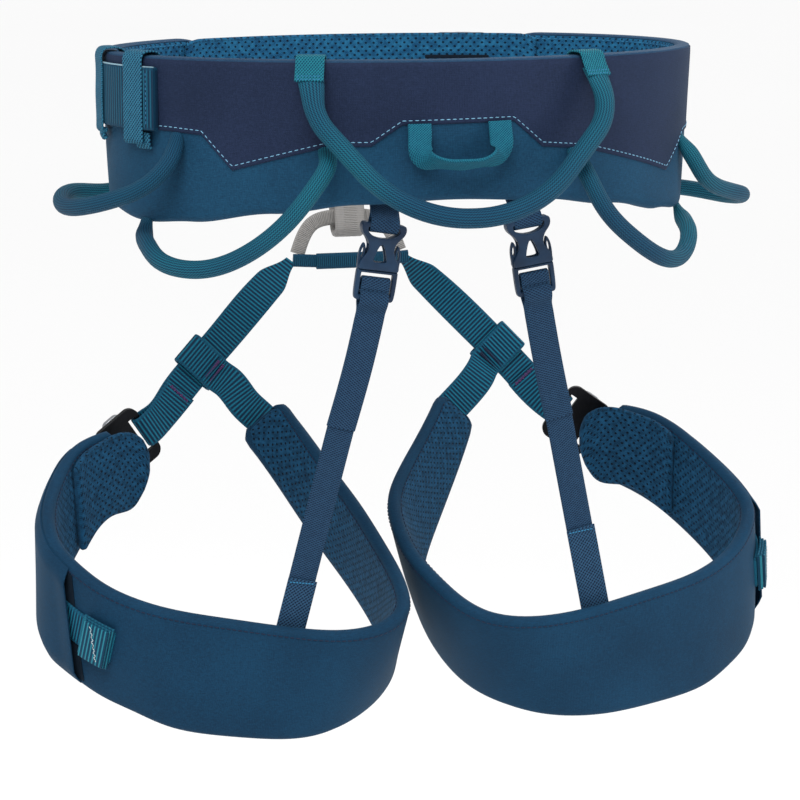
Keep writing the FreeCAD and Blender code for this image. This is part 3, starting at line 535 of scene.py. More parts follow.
HALF_X, HALF_Y, TOP_Z = 164.5, 115.0, 41.0
BELT_BOTTOM = (
    (0, -42), (25, -36), (50, -26), (90, -22), (130, -26), (155, -36), (180, -42), (200, -46), (215, -44),
    (235, -38), (252, -33), (270, -31), (288, -33), (305, -38), (325, -45), (342, -48), (360, -42),
)
YOKE_EDGE = (
    (172, 5.0), (211, 3.5), (219.5, 2.3), (226.4, -15.5), (246, -2.4), (254, -2.4), (259.7, 8.4),
    (280.8, 9.4), (287, -4.6), (297, -7.1), (325, -24.0), (336, -5.4), (350, -3.7), (368, -2.0),
)
BELT_START, BELT_STOP = 126.0, 414.0


def ripple(point, size=0.016, amount=0.7):
    """Slight waviness of soft cloth, the same for all the layers at a place."""
    return noise.noise(Vector(point) * size) * amount


def on_belt(degrees, z, depth=0.0):
    lean = 3.0 * (TOP_Z - z) / 80.0
    angle = math.radians(degrees)
    a, b = HALF_X - lean, HALF_Y - lean
    normal = unit(vec(math.cos(angle) / a, math.sin(angle) / b, 0))
    return vec(a * math.cos(angle), b * math.sin(angle), z) - normal * depth


def belt_side(degrees, z, out):
    point = on_belt(degrees, TOP_Z, -out)
    return vec(point[0], point[1], z)


def belt_along(degrees):
    angle = math.radians(degrees)
    return unit(vec(-math.sin(angle) / HALF_Y, math.cos(angle) / HALF_X, 0))


def belt_top(degrees):
    edge = min(abs(degrees - BELT_START), abs(BELT_STOP - degrees))
    return TOP_Z - 3.0 * max(0.0, 1 - edge / 6.0) ** 2


def belt_bottom(degrees):
    angle = degrees % 360
    edge = min(abs(degrees - BELT_START), abs(BELT_STOP - degrees))
    for (a0, z0), (a1, z1) in zip(BELT_BOTTOM, BELT_BOTTOM[1:]):
        if a0 <= angle <= a1:
            share = (1 - math.cos(math.pi * (angle - a0) / (a1 - a0))) / 2
            return z0 + (z1 - z0) * share + 7.0 * max(0.0, 1 - edge / 14.0) ** 2
    return -30.0


def belt_place(degrees, h, depth):
    """h mm below the top edge, depth mm inside the outer face of the yoke."""
    z = belt_top(degrees) - h
    wave = ripple(on_belt(degrees, z), 0.018, 0.5)
    return on_belt(degrees, z, depth + wave)


def stations(start, stop, step, ends=3):
    """Even stations, with a few close ones near both ends."""
    count = max(2, int(round((stop - start) / step)))
    values = [start + (stop - start) * i / count for i in range(count + 1)]
    extra = [step * k / (ends + 1) for k in range(1, ends + 1)]
    return sorted(set(values + [start + e for e in extra] + [stop - e for e in extra]))


def roll(centre, way, radius, turn_in=1):
    """Points round a rolled edge, from the face at depth 2 * radius (turn_in 1) or 0 (-1)."""
    turns = [math.pi * k / 6 for k in range(1, 6)]
    return [(centre + way * radius * math.sin(t), radius + turn_in * radius * math.cos(t)) for t in turns]


def cloth_section(height, thick, lip, crown):
    """Outer cloth of a pad: rolls over both edges and ends in a seam on the inner face."""
    r = thick / 2
    points = [(lip, thick - 0.5), (lip - 1.2, thick), (r, thick)] + roll(r, -1, r)
    for k in range(15):
        s = k / 14
        points.append((r + (height - 2 * r) * s, -crown * math.sin(math.pi * s) ** 0.7))
    points += roll(height - r, 1, r)[::-1]
    points += [(height - r, thick), (height - lip + 1.2, thick), (height - lip, thick - 0.5)]
    return points + [(height - lip, thick - 1.6), (height / 2, thick - 1.6), (lip, thick - 1.6)]


def lining_section(height, thick, lip, puff):
    low = thick - 0.9
    points = [(lip - 0.6, low), (lip, thick - 0.1), (lip + 1.4, thick + 0.3)]
    for k in range(1, 12):
        s = k / 12
        points.append((lip + (height - 2 * lip) * s, thick + 0.3 + puff * math.sin(math.pi * s)))
    points += [(height - lip - 1.4, thick + 0.3), (height - lip, thick - 0.1), (height - lip + 0.6, low)]
    return points + [(height / 2, low)]


def pillow_section(height, thick, puff, dip, steps):
    """Closed thin pad: the near face bulges by puff, the far face by dip."""
    r = thick / 2
    flat = height - 2 * r
    points = [(r + flat * k / 12, thick + puff * math.sin(math.pi * k / 12)) for k in range(13)]
    points += roll(height - r, 1, r)
    shares = [k / steps for k in range(steps + 1)]
    points += [(height - r - flat * s, -dip * math.sin(math.pi * s)) for s in shares]
    return points + roll(r, -1, r, -1)


def pad_mesh(name, place_at, values, height_at, section, material, thick, skip=0.0):
    """A padded layer: section(height) gives (h, depth) pairs, carried along the stations."""
    run = knots_of([place_at(value, height_at(value) / 2, 0.0) for value in values])
    rings, uvs = [], []
    for value, at in zip(values, run):
        edge = min(at, run[-1] - at)
        slim = math.sqrt(max(0.03, 1 - max(0.0, 1 - edge / (thick * 0.6)) ** 2))
        height, inset = height_at(value), max(0.0, skip - edge)
        shape = [(inset + h * (height - 2 * inset) / height, depth) for h, depth in section(height)]
        rings.append([place_at(value, h, thick / 2 + (depth - thick / 2) * slim) for h, depth in shape])
        line = [(at * MM, across * MM) for across in knots_of(shape)]
        uvs.append(line + line[:1])
    return build_mesh(name, rings, uvs, material)


def stitches(name, points, material, length, gap, radius):
    """Separate thread stitches along a path, in one mesh."""
    run = knots_of(points)
    verts, faces = [], []
    at = gap
    sides = 5
    shape = ((0.0, 0.35), (0.2, 0.95), (0.8, 0.95), (1.0, 0.35))

    def along(t):
        i = min(max(bisect.bisect_right(list(run), t) - 1, 0), len(points) - 2)
        share = (t - run[i]) / max(run[i + 1] - run[i], 1e-9)
        return points[i] + (points[i + 1] - points[i]) * share

    while at + length < run[-1]:
        a, b = along(at), along(at + length)
        tangent = unit(b - a)
        side = unit(np.cross(tangent, vec(0.3, 0.2, 0.9)))
        other = np.cross(tangent, side)
        first = len(verts)
        for share, grow in shape:
            for k in range(sides):
                turn = 2 * math.pi * k / sides
                offset = (side * math.cos(turn) + other * math.sin(turn)) * radius * grow
                verts.append(tuple((a + (b - a) * share + offset) * MM))
        faces += tube_faces(first, len(shape), sides)
        at += length + gap
    mesh = bpy.data.meshes.new(name)
    mesh.from_pydata(verts, [], faces)
    mesh.uv_layers.new(name="UVMap")
    return add_object(name, mesh, material, 180)


def yoke_low(degrees):
    for (a0, z0), (a1, z1) in zip(YOKE_EDGE, YOKE_EDGE[1:]):
        if a0 <= degrees <= a1:
            return z0 + (z1 - z0) * (degrees - a0) / (a1 - a0)
    return 0.0


def build_belt():
    values = stations(BELT_START, BELT_STOP, 1.5)
    depth, thick = 1.1, 8.2

    def place_at(angle, h, d):
        return belt_place(angle, h, depth + d)

    def height(angle):
        return belt_top(angle) - belt_bottom(angle)

    outer = pad_mesh("belt_outer", place_at, values, height,
                     lambda tall: cloth_section(tall, thick, 5.5, 0.5), SHELL, thick)
    place(outer, "waist", "shell_cloth", "waist_outer_shell", "waist_foam", soft=0.9)
    inner = pad_mesh("belt_lining", place_at, values, height,
                     lambda tall: lining_section(tall, thick, 0.9, 0.8), LINING, thick)
    place(inner, "waist", "mesh_lining", "waist_mesh_lining")
    build_yoke()
    build_binding(depth + thick)
    build_front_tongue()


def build_yoke():
    corners = [angle for angle, z in YOKE_EDGE]
    values = sorted(set(stations(172.0, 368.0, 1.25) + corners))

    def section(tall):
        points = [(0.6, 0.9), (0.2, 0.5), (0.6, 0.05)] + [(tall * k / 12, -0.1) for k in range(1, 12)]
        points += [(tall - 1.4, -0.35), (tall - 0.5, -0.3), (tall, 0.25), (tall - 0.2, 0.9)]
        return points + [(tall - 2.0, 0.95), (tall / 2, 0.95)]

    yoke = pad_mesh("belt_yoke", belt_place, values, lambda a: belt_top(a) - yoke_low(a), section, YOKE, 1.0)
    place(yoke, "waist", "yoke_cloth", "waist_yoke")
    seam = [belt_place(a, belt_top(a) - yoke_low(a) - 2.4, -0.3) for a in values]
    row = stitches("yoke_stitches", seam, PALE_THREAD, 2.1, 1.2, 0.26)
    place(row, "waist", "yoke_cloth")


def build_binding(total):
    values = stations(BELT_START, BELT_STOP, 1.5)
    shape = ((0.6, -0.4), (0.9, 0.5), (2.0, 0.95), (4.0, 1.15), (6.4, 1.1), (8.0, 0.7), (8.8, 0.0),
             (8.0, -0.6), (4.0, -0.6))
    rings = [[belt_place(angle, -up, depth) for depth, up in shape] for angle in values]
    run = knots_of([ring[3] for ring in rings])
    uvs = [[(at * MM, k * 1.3 * MM) for k in range(len(shape) + 1)] for at in run]
    tape = build_mesh("edge_binding", rings, uvs, BINDING)
    place(tape, "waist", "binding_tape", "waist_edge_binding")
    seam = [belt_place(angle, 2.2, total + 0.45) for angle in values]
    row = stitches("binding_stitches", seam, BLUE_THREAD, 2.0, 1.4, 0.22)
    place(row, "waist", "binding_tape")


def build_front_tongue():
    values = stations(48.0, 132.0, 2.0)
    thick = 4.0

    def top(angle):
        edge = min(angle - 48.0, 132.0 - angle)
        return 41.9 - 2.5 * max(0.0, 1 - edge / 5.0) ** 2

    def height(angle):
        edge = min(angle - 48.0, 132.0 - angle)
        return top(angle) + 16.0 - 6.0 * max(0.0, 1 - edge / 9.0) ** 2

    def place_at(angle, h, depth):
        z = top(angle) - h
        return on_belt(angle, z, 9.7 + depth + ripple(on_belt(angle, z), 0.018, 0.5))

    tongue = pad_mesh("front_tongue", place_at, values, height,
                      lambda tall: pillow_section(tall, thick, 0.4, 0.0, 6), LINING, thick)
    place(tongue, "waist", "mesh_lining", "waist_front_tongue", soft=0.8)
    # A dark strip on the tongue: painted shade in the slot's opening.
    slot = [place_at(a, 13.6, thick + 0.75) for a in np.linspace(59.5, 74.0, 16)]
    mark = webbing("tongue_slot_shade", slot, UP, 2.0, 0.7, SHADE_CLOTH, 1.5)
    place(mark, "waist", "mesh_lining")


# ---------------------------------------------------------------- waist strap, keepers, buckle

STRAP_Z = 20.0
BUCKLE_ANGLE, BUCKLE_OUT, BEND = 66.0, 5.4, 3.3


def belt_run(marks, steps):
    points = []
    for (a0, o0), (a1, o1) in zip(marks, marks[1:]):
        for i in range(steps):
            share = i / steps
            eased = (1 - math.cos(math.pi * share)) / 2
            points.append(belt_side(a0 + (a1 - a0) * share, STRAP_Z, o0 + (o1 - o0) * eased))
    points.append(belt_side(marks[-1][0], STRAP_Z, marks[-1][1]))
    return points


def build_waist_strap():
    turn = BUCKLE_ANGLE + 4.8
    low, high = BUCKLE_OUT - BEND, BUCKLE_OUT + BEND
    inner = belt_run(((148, 0.1), (130, 0.1), (118, 1.1), (79, 1.1), (turn, low)), 12)
    marks = ((turn, high), (80, 3.4), (112, 3.4), (134, 2.4), (164, 2.4), (172, 1.2), (208.2, 1.2))
    outer = belt_run(marks, 14)
    centre = belt_side(turn, STRAP_Z, BUCKLE_OUT)
    out = unit(outer[0] - inner[-1])
    along = facing(np.cross(UP, out), inner[-1] - inner[-2])
    bend = arc_points(centre, -out * BEND, along * BEND, math.pi, 12)[1:-1]
    path = inner + bend + outer
    shape = flat_section(WAIST_WEB_WIDTH, WEB_THICK)
    strap = sweep("waist_strap_web", path, [UP] * len(path), shape, WAIST_WEB)
    place(strap, "waist", "webbing", "waist_strap")
    fold = [belt_side(204.9 + 3.2 * i / 8, STRAP_Z, 2.95) for i in range(9)]
    end = sweep("waist_strap_fold", fold, [UP] * 9, flat_section(32.6, 1.6), WAIST_WEB)
    place(end, "waist", "webbing")
    # A pale line on the waist strap's top edge: edge yarn and painted highlight.
    rim = [belt_side(a, STRAP_Z + 16.4, 1.75) for a in np.linspace(173.0, 207.6, 60)]
    line = sweep("strap_rim_yarn_and_highlight", rim, [UP] * 60, flat_section(0.8, 0.9), RIM_YARN_AND_HIGHLIGHT)
    place(line, "waist", "webbing")
    seam = [belt_side(205.8, STRAP_Z + z, 3.85) for z in np.linspace(-14, 14, 20)]
    row = stitches("strap_end_stitches", seam, BLUE_THREAD, 1.6, 0.9, 0.22)
    place(row, "waist", "webbing")


OVER_EDGE = ((31.0, -10.4), (38.0, -10.3), (42.8, -9.4), (44.0, -6.0), (44.1, -2.0))


def belt_band(name, angle, marks, width, thick, material, step):
    """A band down the belt at one angle; marks are (height, distance out) pairs."""
    path = [belt_side(angle, z, out) for z, out in marks]
    return webbing(name, path, belt_along(angle), width, thick, material, step)


def build_keepers():
    front = 2.75
    for label, angle, width, low in (("rear", 200.8, 15.4, -3.6), ("side", 182.1, 14.0, -0.6)):
        node = "tail_keeper_" + label
        marks = OVER_EDGE + ((43.5, 0.9), (41.2, front - 0.2), (37.0, front),
                             (low + (37.0 - low) * 0.5, front + 0.15), (low + 3.0, front),
                             (low + 0.3, front - 0.6), (low - 0.2, front * 0.45), (low + 2.0, 0.3))
        band = belt_band("keeper_" + node, angle, marks, width, 1.0, KEEPER, 1.5)
        place(band, "waist", "keeper_elastic", node)
    marks = ((2.0, 0.5), (-1.0, 0.6), (-4.0, 0.3), (-6.2, -0.9))
    place(belt_band("keeper_foot", 203.2, marks, 11.0, 1.3, KEEPER, 1.2), "waist", "keeper_elastic")
    marks = ((2.0, 1.2), (-1.5, 1.9), (-4.2, 0.6))
    place(belt_band("keeper_knob", 183.6, marks, 6.0, 2.6, KEEPER, 1.0), "waist", "keeper_elastic")


def build_waist_buckle_tab():
    centre = belt_side(BUCKLE_ANGLE, STRAP_Z, BUCKLE_OUT)
    out = unit(centre - belt_side(BUCKLE_ANGLE, STRAP_Z, 0.0))
    along = facing(np.cross(UP, out), belt_along(BUCKLE_ANGLE))
    bar = centre - along * 13.0
    path = [belt_side(a, STRAP_Z, 0.1) for a in (36, 43, 50)]
    path += [bar - along * 7.4 - out * 3.2, bar - along * 3.0 - out * 3.05]
    path += arc_points(bar, -out * 3.05, along * 3.05, math.pi, 8)
    path += [bar - along * 3.0 + out * 3.0, bar - along * 8.0 - out * 1.1, bar - along * 15.0 - out * 2.2]
    tab = webbing("buckle_tab_web", path, UP, WAIST_WEB_WIDTH, WEB_THICK, WAIST_WEB, 1.5)
    place(tab, "waist", "webbing", "waist_buckle_tab")


# ---------------------------------------------------------------- gear loops

REAR_LOOP = ((77.7, 29.4), (82.3, 13.4), (34.8, -37.3), (-33.3, -37.3), (-76.5, 13.4), (-76.5, 29.4))
SIDE_LOOPS = {
    "left": (245.5, 200.5, ((-70, -115, -12), (-77, -119, -21), (-91, -121, -37), (-113, -119, -54),
                            (-133, -111, -62), (-150, -94, -61), (-154, -68, -55))),
    "right": (294.5, 341.0, ((68, -116, -16), (77, -119, -34), (96, -113, -53), (117, -101, -66),
                             (137, -80, -68), (149, -57, -58))),
}
FRONT_LOOPS = {
    "left": (212.5, 154.0, ((-141, -68, -9), (-151, -67, -21), (-166, -53, -31), (-181, -29, -38),
                            (-187, 2, -40), (-174, 34, -37))),
    "right": (335.5, 26.0, ((153, -48, -17), (163, -43, -30), (182, -27, -40), (204, 2, -47),
                            (204, 28, -50), (184, 46, -47))),
}


TAB_ANGLE = 27.2


def tucked(degrees, edge):
    """The way under a seam or hem of the belt, from inside the pad outwards."""
    return [on_belt(degrees, edge + 5.0, 4.2), on_belt(degrees, edge + 1.0, 2.6)]


def gear_loop(name, path, flat, sides, radius, spread):
    """Braided cord with two flattened ends: flat holds their lengths, sides their width directions."""
    tangents = directions(path)
    carried = [square_to(sides[0], tangents[0])]
    for tangent in tangents[1:]:
        carried.append(square_to(carried[-1], tangent))
    wanted = facing(square_to(sides[1], tangents[-1]), carried[-1])
    turn = math.atan2(np.dot(np.cross(carried[-1], wanted), tangents[-1]), np.dot(carried[-1], wanted))
    run = knots_of(path)
    turned = []
    for side, tangent, at in zip(carried, tangents, run):
        angle = turn * ease(at / run[-1])
        turned.append(side * math.cos(angle) + np.cross(tangent, side) * math.sin(angle))

    def section(at):
        share = 1 - min(ease(at / flat[0]), ease((run[-1] - at) / flat[1]))
        wide, deep = radius + spread * share, radius - 3.4 * share
        turns = [2 * math.pi * k / 24 for k in range(24)]
        return [(wide * math.cos(t), deep * math.sin(t)) for t in turns]

    return sweep(name, path, turned, section, SHEATH, CORD_ROUND)


def build_gear_loops():
    path = [vec(x, -110.0 - (30.0 - z) * 0.41, z) for x, z in REAR_LOOP]
    left, right = belt_side(270 - TAB_ANGLE, 35.5, 3.0), belt_side(270 + TAB_ANGLE, 35.5, 3.0)
    whole = rounded_path([right] + path + [left], (9, 28, 70, 70, 28, 9))
    rear = gear_loop("rear_gear_cord", whole, (26, 26), (vec(1, 0.3, 0), vec(1, -0.3, 0)), 5.2, 1.7)
    place(rear, "gear_loop_rear", "loop_sheath", "gear_loop_rear")
    for side, sign in SIDES:
        for label, loops, hem, radius, spread in (("side", SIDE_LOOPS, None, 4.7, -0.4),
                                                  ("front", FRONT_LOOPS, -34.0, 4.6, -0.8)):
            first, last, free = loops[side]
            ending = tucked(last, belt_bottom(last) if hem is None else hem)
            path = refined(tucked(first, yoke_low(first)) + [vec(*p) for p in free] + ending[::-1], 2.0)
            cord = gear_loop("%s_gear_cord_%s" % (label, side), path, (20, 16),
                             (belt_along(first), belt_along(last)), radius, spread)
            node = "gear_loop_%s_%s" % (label, side)
            place(cord, node, "loop_sheath", node)
        build_loop_tab(side, 270 + sign * TAB_ANGLE)


def build_loop_tab(side, angle):
    """Tab over the belt's edge that covers an end of the rear loop."""
    marks = OVER_EDGE + ((43.4, 1.2), (41.0, 2.8), (38.0, 4.2), (35.0, 6.2), (32.0, 8.5))
    band = belt_band("loop_tab_" + side, angle, marks, 15.0, 1.3, TAB, 1.5)
    place(band, "waist", "webbing", "rear_loop_tab_" + side)
    along = belt_along(angle)
    for z, out in ((33.1, 8.5), (34.6, 7.3)):
        seam = [belt_side(angle, z, out) + along * t for t in np.linspace(-7, 7, 12)]
        row = stitches("loop_tab_stitches_%s_%d" % (side, z), seam, BLUE_THREAD, 1.5, 0.6, 0.24)
        place(row, "waist", "webbing")


def build_haul_loop():
    marks = (
        ((-21.0, -115.4, 9.4), (1, 0, 0)), ((-21.2, -117.0, 3.0), (1, 0, 0)),
        ((-21.6, -118.6, -2.5), (1, 0, 0.12)), ((-20.2, -120.4, -7.4), (0.6, -0.5, 0.65)),
        ((-13.0, -121.9, -10.2), (0.1, -0.85, 0.5)), ((0.5, -122.4, -11.4), (0, -0.88, 0.48)),
        ((14.0, -121.8, -9.8), (-0.1, -0.85, 0.5)), ((20.8, -120.0, -6.4), (-0.6, -0.5, 0.65)),
        ((22.2, -118.4, -1.5), (-1, 0, 0.12)), ((22.2, -117.0, 4.0), (-1, 0, 0)),
        ((22.0, -115.4, 10.0), (-1, 0, 0)),
    )
    points, across = [vec(*point) for point, wide in marks], [vec(*wide) for point, wide in marks]
    web = webbing("haul_web", points, across, 12.6, 1.8, HAUL_WEB, 1.0)
    place(web, "haul_loop", "webbing", "haul_loop")


# ---------------------------------------------------------------- tie-in points

def build_tie_in():
    half = ((-31, 112, -87), (-27.5, 113, -78), (-21, 114, -69.5), (-10, 115, -66.5))
    arch = [vec(*p) for p in half + tuple((-x, y, z) for x, y, z in half[::-1])]
    web = webbing("arch_web", arch, [unit(p - vec(0, p[1], -98)) for p in arch], 9.0, 3.0, GREY_WEB, 1.5)
    place(web, "waist", "wear_webbing", "lower_tie_in_arch")
    ends = [belt_side(100.5, 10.0, 6.4)] + [belt_side(95 - 10 * i / 6, 10.0, 15.5) for i in range(7)]
    ends += [belt_side(79.5, 10.0, 6.8)]
    web = webbing("upper_tie_in_web", ends, UP, 16.0, 3.0, GREY_WEB, 1.5)
    place(web, "waist", "wear_webbing", "upper_tie_in_loop")
    low, high = vec(0, 115.0, -67.0), belt_side(90, 10.0, 15.5)
    along = unit(low - high)
    lift = np.cross(along, vec(1, 0, 0))
    radius = 5.0 + 1.6
    top, foot = high - along * 5.5, low + along * 3.0
    ring = arc_points(top, lift * radius, -along * radius, math.pi, 12)
    ring += arc_points(foot, -lift * radius, along * radius, math.pi, 12)
    ring = fill_gaps(ring + [ring[0]], 4.0)
    web = sweep("belay_web", ring, [vec(1, 0, 0)] * len(ring), flat_section(18.0, 3.2), GREY_WEB)
    place(web, "belay_loop", "wear_webbing", "belay_loop")
    middle = (top + foot) / 2
    for offset in (-9.0, 9.0):
        spot = middle + along * offset - lift * (radius + 1.9)
        row = stitches("belay_tack_%d" % offset, [spot + vec(t, 0, 0) for t in np.linspace(-8, 8, 20)],
                       PURPLE_THREAD, 1.0, 0.15, 0.5)
        place(row, "belay_loop", "webbing")
    cross = [vec(*p) for p in ((-35, 106.5, -90), (-16, 105.5, -91), (16, 105.5, -91), (35, 106.5, -90))]
    web = webbing("cross_web", cross, UP, 7.6, 2.2, TEAL_DARK, 1.5)
    place(web, "waist", "webbing", "leg_cross_strap")
    sleeve = [vec(x, 105.5, -91.0) for x in np.linspace(-21, 23, 12)]
    web = webbing("cross_sleeve", sleeve, UP, 9.4, 3.4, TEAL_DARK, 1.5)
    place(web, "waist", "webbing")


def fill_gaps(points, step):
    path = [points[0]]
    for point in points[1:]:
        path += straight(path[-1], point, step) if np.linalg.norm(point - path[-1]) > step else [point]
    return path


# ---------------------------------------------------------------- rear release straps

def release_frame(sign):
    """Top of a release buckle, and the directions down it and across it."""
    down = unit(vec(sign * 0.15, 0.02, -0.989))
    return vec(sign * 39.0 + 2.4, -102.0, -45.0), down, unit(vec(-down[2], 0, down[0]))


def rounded_loop(half, times=3):
    """Closed outline from its right half, mirrored, with its corners cut round."""
    return cut_round(list(half) + [(-x, z) for x, z in reversed(half)], times)


def cut_round(points, times=3):
    for _ in range(times):
        cut = []
        for (ax, az), (bx, bz) in zip(points, points[1:] + points[:1]):
            cut += [(ax * a + bx * b, az * a + bz * b) for a, b in ((0.75, 0.25), (0.25, 0.75))]
        points = cut
    return points


def moulded(name, layers, sign):
    """Moulded plates in the frame of a release buckle.

    A layer is (outline, holes, centre, thickness, edge radius).
    """
    top, down, wide = release_frame(sign)
    face = unit(np.cross(wide, down))
    shell = bmesh.new()
    for outline, holes, centre, thick, edge in layers:
        curve = bpy.data.curves.new(name + "_outline", "CURVE")
        curve.dimensions = "2D"
        curve.fill_mode = "BOTH"
        curve.extrude = thick / 2 - edge
        curve.bevel_depth = edge
        curve.bevel_resolution = 2
        curve.offset = -edge
        for loop in [outline] + holes:
            spline = curve.splines.new("POLY")
            spline.points.add(len(loop) - 1)
            for point, (x, z) in zip(spline.points, loop):
                point.co = (x, z, 0, 1)
            spline.use_cyclic_u = True
        shape = bpy.data.objects.new(name + "_outline", curve)
        bpy.context.scene.collection.objects.link(shape)
        solid = bpy.data.meshes.new_from_object(shape.evaluated_get(bpy.context.evaluated_depsgraph_get()))
        for vertex in solid.vertices:
            x, z, y = vertex.co
            vertex.co = tuple((top + wide * x - down * z + face * (y + centre)) * MM)
        shell.from_mesh(solid)
        bpy.data.meshes.remove(solid)
        bpy.data.objects.remove(shape)
        bpy.data.curves.remove(curve)
    bmesh.ops.remove_doubles(shell, verts=shell.verts, dist=1e-6)
    bmesh.ops.recalc_face_normals(shell, faces=shell.faces)
    mesh = bpy.data.meshes.new(name)
    shell.to_mesh(mesh)
    shell.free()
    return add_object(name, mesh, PLASTIC, 38)


def build_release_buckle(side, sign):
    horns = [(8.0, 2.2), (11.9, 2.2), (12.1, -2.6), (7.5, -7.2)]
    slot = rounded_loop([(7.4, -0.2), (8.6, -0.2), (8.6, -2.4), (6.4, -4.4), (2.4, -5.7)])
    window = rounded_loop([(1.1, -8.8), (3.9, -17.4), (2.9, -18.2)])
    plate = rounded_loop(horns + [(6.5, -12.0), (9.2, -16.4), (10.8, -19.4), (10.7, -22.4), (9.0, -22.4)])
    block = rounded_loop(horns + [(6.8, -9.6), (5.6, -9.6)])
    layers = [(plate, [slot, window], centre, 1.6, 0.4) for centre in (-2.5, 2.5)]
    layers.append((block, [slot], 0.0, 3.8, 0.05))
    socket = moulded("buckle_socket_body_" + side, layers, sign)
    place(socket, "waist", "buckle_plastic", "buckle_socket_" + side)
    body = [(9.4, -22.6), (10.9, -22.6), (11.1, -24.2), (11.0, -35.4), (10.2, -38.6), (7.6, -38.7)]
    opening = [(7.6, -24.2), (8.6, -24.2), (8.6, -25.4), (8.6, -34.6), (8.5, -36.0), (7.4, -36.0)]
    layers = [(rounded_loop(body), [rounded_loop(opening)], 0.0, 4.2, 0.7)]
    ear = [(8.4, -24.0), (10.9, -24.0), (11.5, -17.0), (11.1, -12.0), (9.4, -8.2), (8.2, -10.6), (7.8, -14.0),
           (8.4, -19.0)]
    eye = [(9.3, -10.8), (10.2, -12.6), (10.4, -16.4), (9.4, -16.4), (8.9, -13.2)]
    for way in (-1, 1):
        rim, hole = [cut_round([(x * way, z) for x, z in line]) for line in (ear, eye)]
        layers.append((rim, [hole], 0.0, 2.6, 0.4))
    layers.append((rounded_loop([(1.2, -18.8), (1.2, -23.4)], 1), [], 0.0, 2.6, 0.3))
    plug = moulded("buckle_plug_body_" + side, layers, sign)
    place(plug, "buckle_plug_" + side, "buckle_plastic", "buckle_plug_" + side)
    top, down, wide = release_frame(sign)
    lift = unit(np.cross(down, wide))
    ring = arc_points(top + down * 32.6, lift * 1.75, down * 1.75, math.pi, 8)
    ring += arc_points(top + down * 28.4, -lift * 1.75, -down * 1.75, math.pi, 8)
    ring = fill_gaps(ring + [ring[0]], 2.0)
    shape = flat_section(ELASTIC_WIDTH, ELASTIC_THICK)
    fold = sweep("plug_fold_" + side, ring, [wide] * len(ring), shape, ELASTIC)
    place(fold, "buckle_plug_" + side, "elastic_web")


def doubled(name, run, bar, toward, wide, radius):
    """Elastic tape around a bar and doubled back: run goes away from the bar in direction toward."""
    lift = unit(np.cross(toward, wide))
    half = ELASTIC_THICK / 2 + 0.02
    start = bar + toward * 1.6
    front = [p + lift * half for p in run]
    back = [p - lift * half for p in run]
    ring = arc_points(bar, lift * radius, -toward * radius, math.pi, 10)
    path = front[::-1] + [start + lift * radius] + ring + [start - lift * radius] + back
    return webbing(name, path, wide, ELASTIC_WIDTH, ELASTIC_THICK, ELASTIC, 1.0)


def build_rear_straps(side, sign):
    top, down, wide = release_frame(sign)
    up = -down
    bar = top + up * 0.85
    run = [top + up * rise + FRONT * inward for rise, inward in ((7.4, 1.9), (10.5, 4.5), (15.0, 9.0))]
    tab = doubled("rear_tab_tape_" + side, run, bar, up, wide, 3.15)
    place(tab, "waist", "elastic_web", "rear_tab_" + side)
    foot = vec(sign * 87.0 + 3.0, -80.6, -266.0)
    bar = top + down * 37.5
    start = bar + down * 5.0
    split = start + (foot - start) * 0.36
    middle = start + down * 12.0 + (split - start - down * 12.0) * 0.3
    run = refined([start + down * 2.0, middle, split], 4.0)
    tape = doubled("rear_strap_upper_" + side, run, bar, down, wide, 3.55)
    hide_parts("elastic_upper_" + side)
    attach(tape, "waist")
    tuple(down)
    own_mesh(tape)
    below = split + unit(foot - split) * 0.4
    path = [below - unit(foot - split) * 1.5, below + (foot - below) * 0.5 + vec(0, 0.4, 0), foot]
    tape = webbing("rear_strap_lower_" + side, path, wide, 15.0, 1.4, ELASTIC, 2.0)
    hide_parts("elastic_lower_" + side)
    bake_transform(tape)
    face = facing(unit(np.cross(foot - below, wide)), -FRONT)
    share = {"left": 0.72, "right": 0.55}[side]
    lap = [below + (foot - below) * (share + (0.985 - share) * i / 3) + face * 1.25 for i in range(4)]
    seam = lap[0] + unit(foot - below) * 1.6 + face * 0.75
    seam = [seam + wide * t for t in np.linspace(-7.4, 7.4, 14)]
    sewn = stitches("weld_row_" + side, seam, BLUE_THREAD, 1.3, 0.4, 0.35)
    over = webbing("rear_strap_lap_" + side, lap, wide, 16.2, 0.9, LAP, 2.0)
    for piece in (over, sewn):
        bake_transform(piece)


# ---------------------------------------------------------------- leg loops

LEG_RIM = (
    ((152, 152, 67, -177), (146, 146, 66, -222)),
    ((168, 168, 60, -180), (163, 161, 58, -229)),
    ((185, 185, 45, -188), (181, 181, 43, -243)),
    ((199, 199, 16, -203), (199, 203, 17, -267)),
    ((203, 205, -8, -214), (202, 211, -5, -286)),
    ((200, 204, -26, -223), (195, 208, -21, -294)),
    ((189, 193, -45, -233), (181, 196, -39, -303)),
    ((173, 177, -60, -242), (164, 180, -54, -310)),
    ((148, 152, -75, -249), (144, 158, -68, -317)),
    ((117, 119, -86, -254), (116, 126, -78, -321)),
    ((86, 88, -93, -259), (88, 95, -84, -323)),
    ((58, 58, -97.5, -262), (66, 66, -83, -322)),
    ((33, 30, -94, -261), (46, 44, -74, -318)),
    ((16, 10, -82, -254), (26, 27, -57, -311.5)),
    ((12.8, -2, -62, -243), (12, 17, -36, -302)),
    ((15.2, -9.5, -37, -231), (9, 12, -12, -289)),
    ((21, -9.5, -6, -214.5), (18, 13, 18, -268)),
    ((28.5, 4, 22, -200), (35, 29, 44, -242)),
    ((37, 26, 54, -184), (54, 50, 66, -213)),
    ((46, 43.5, 81, -170), (72, 66, 85, -189)),
)
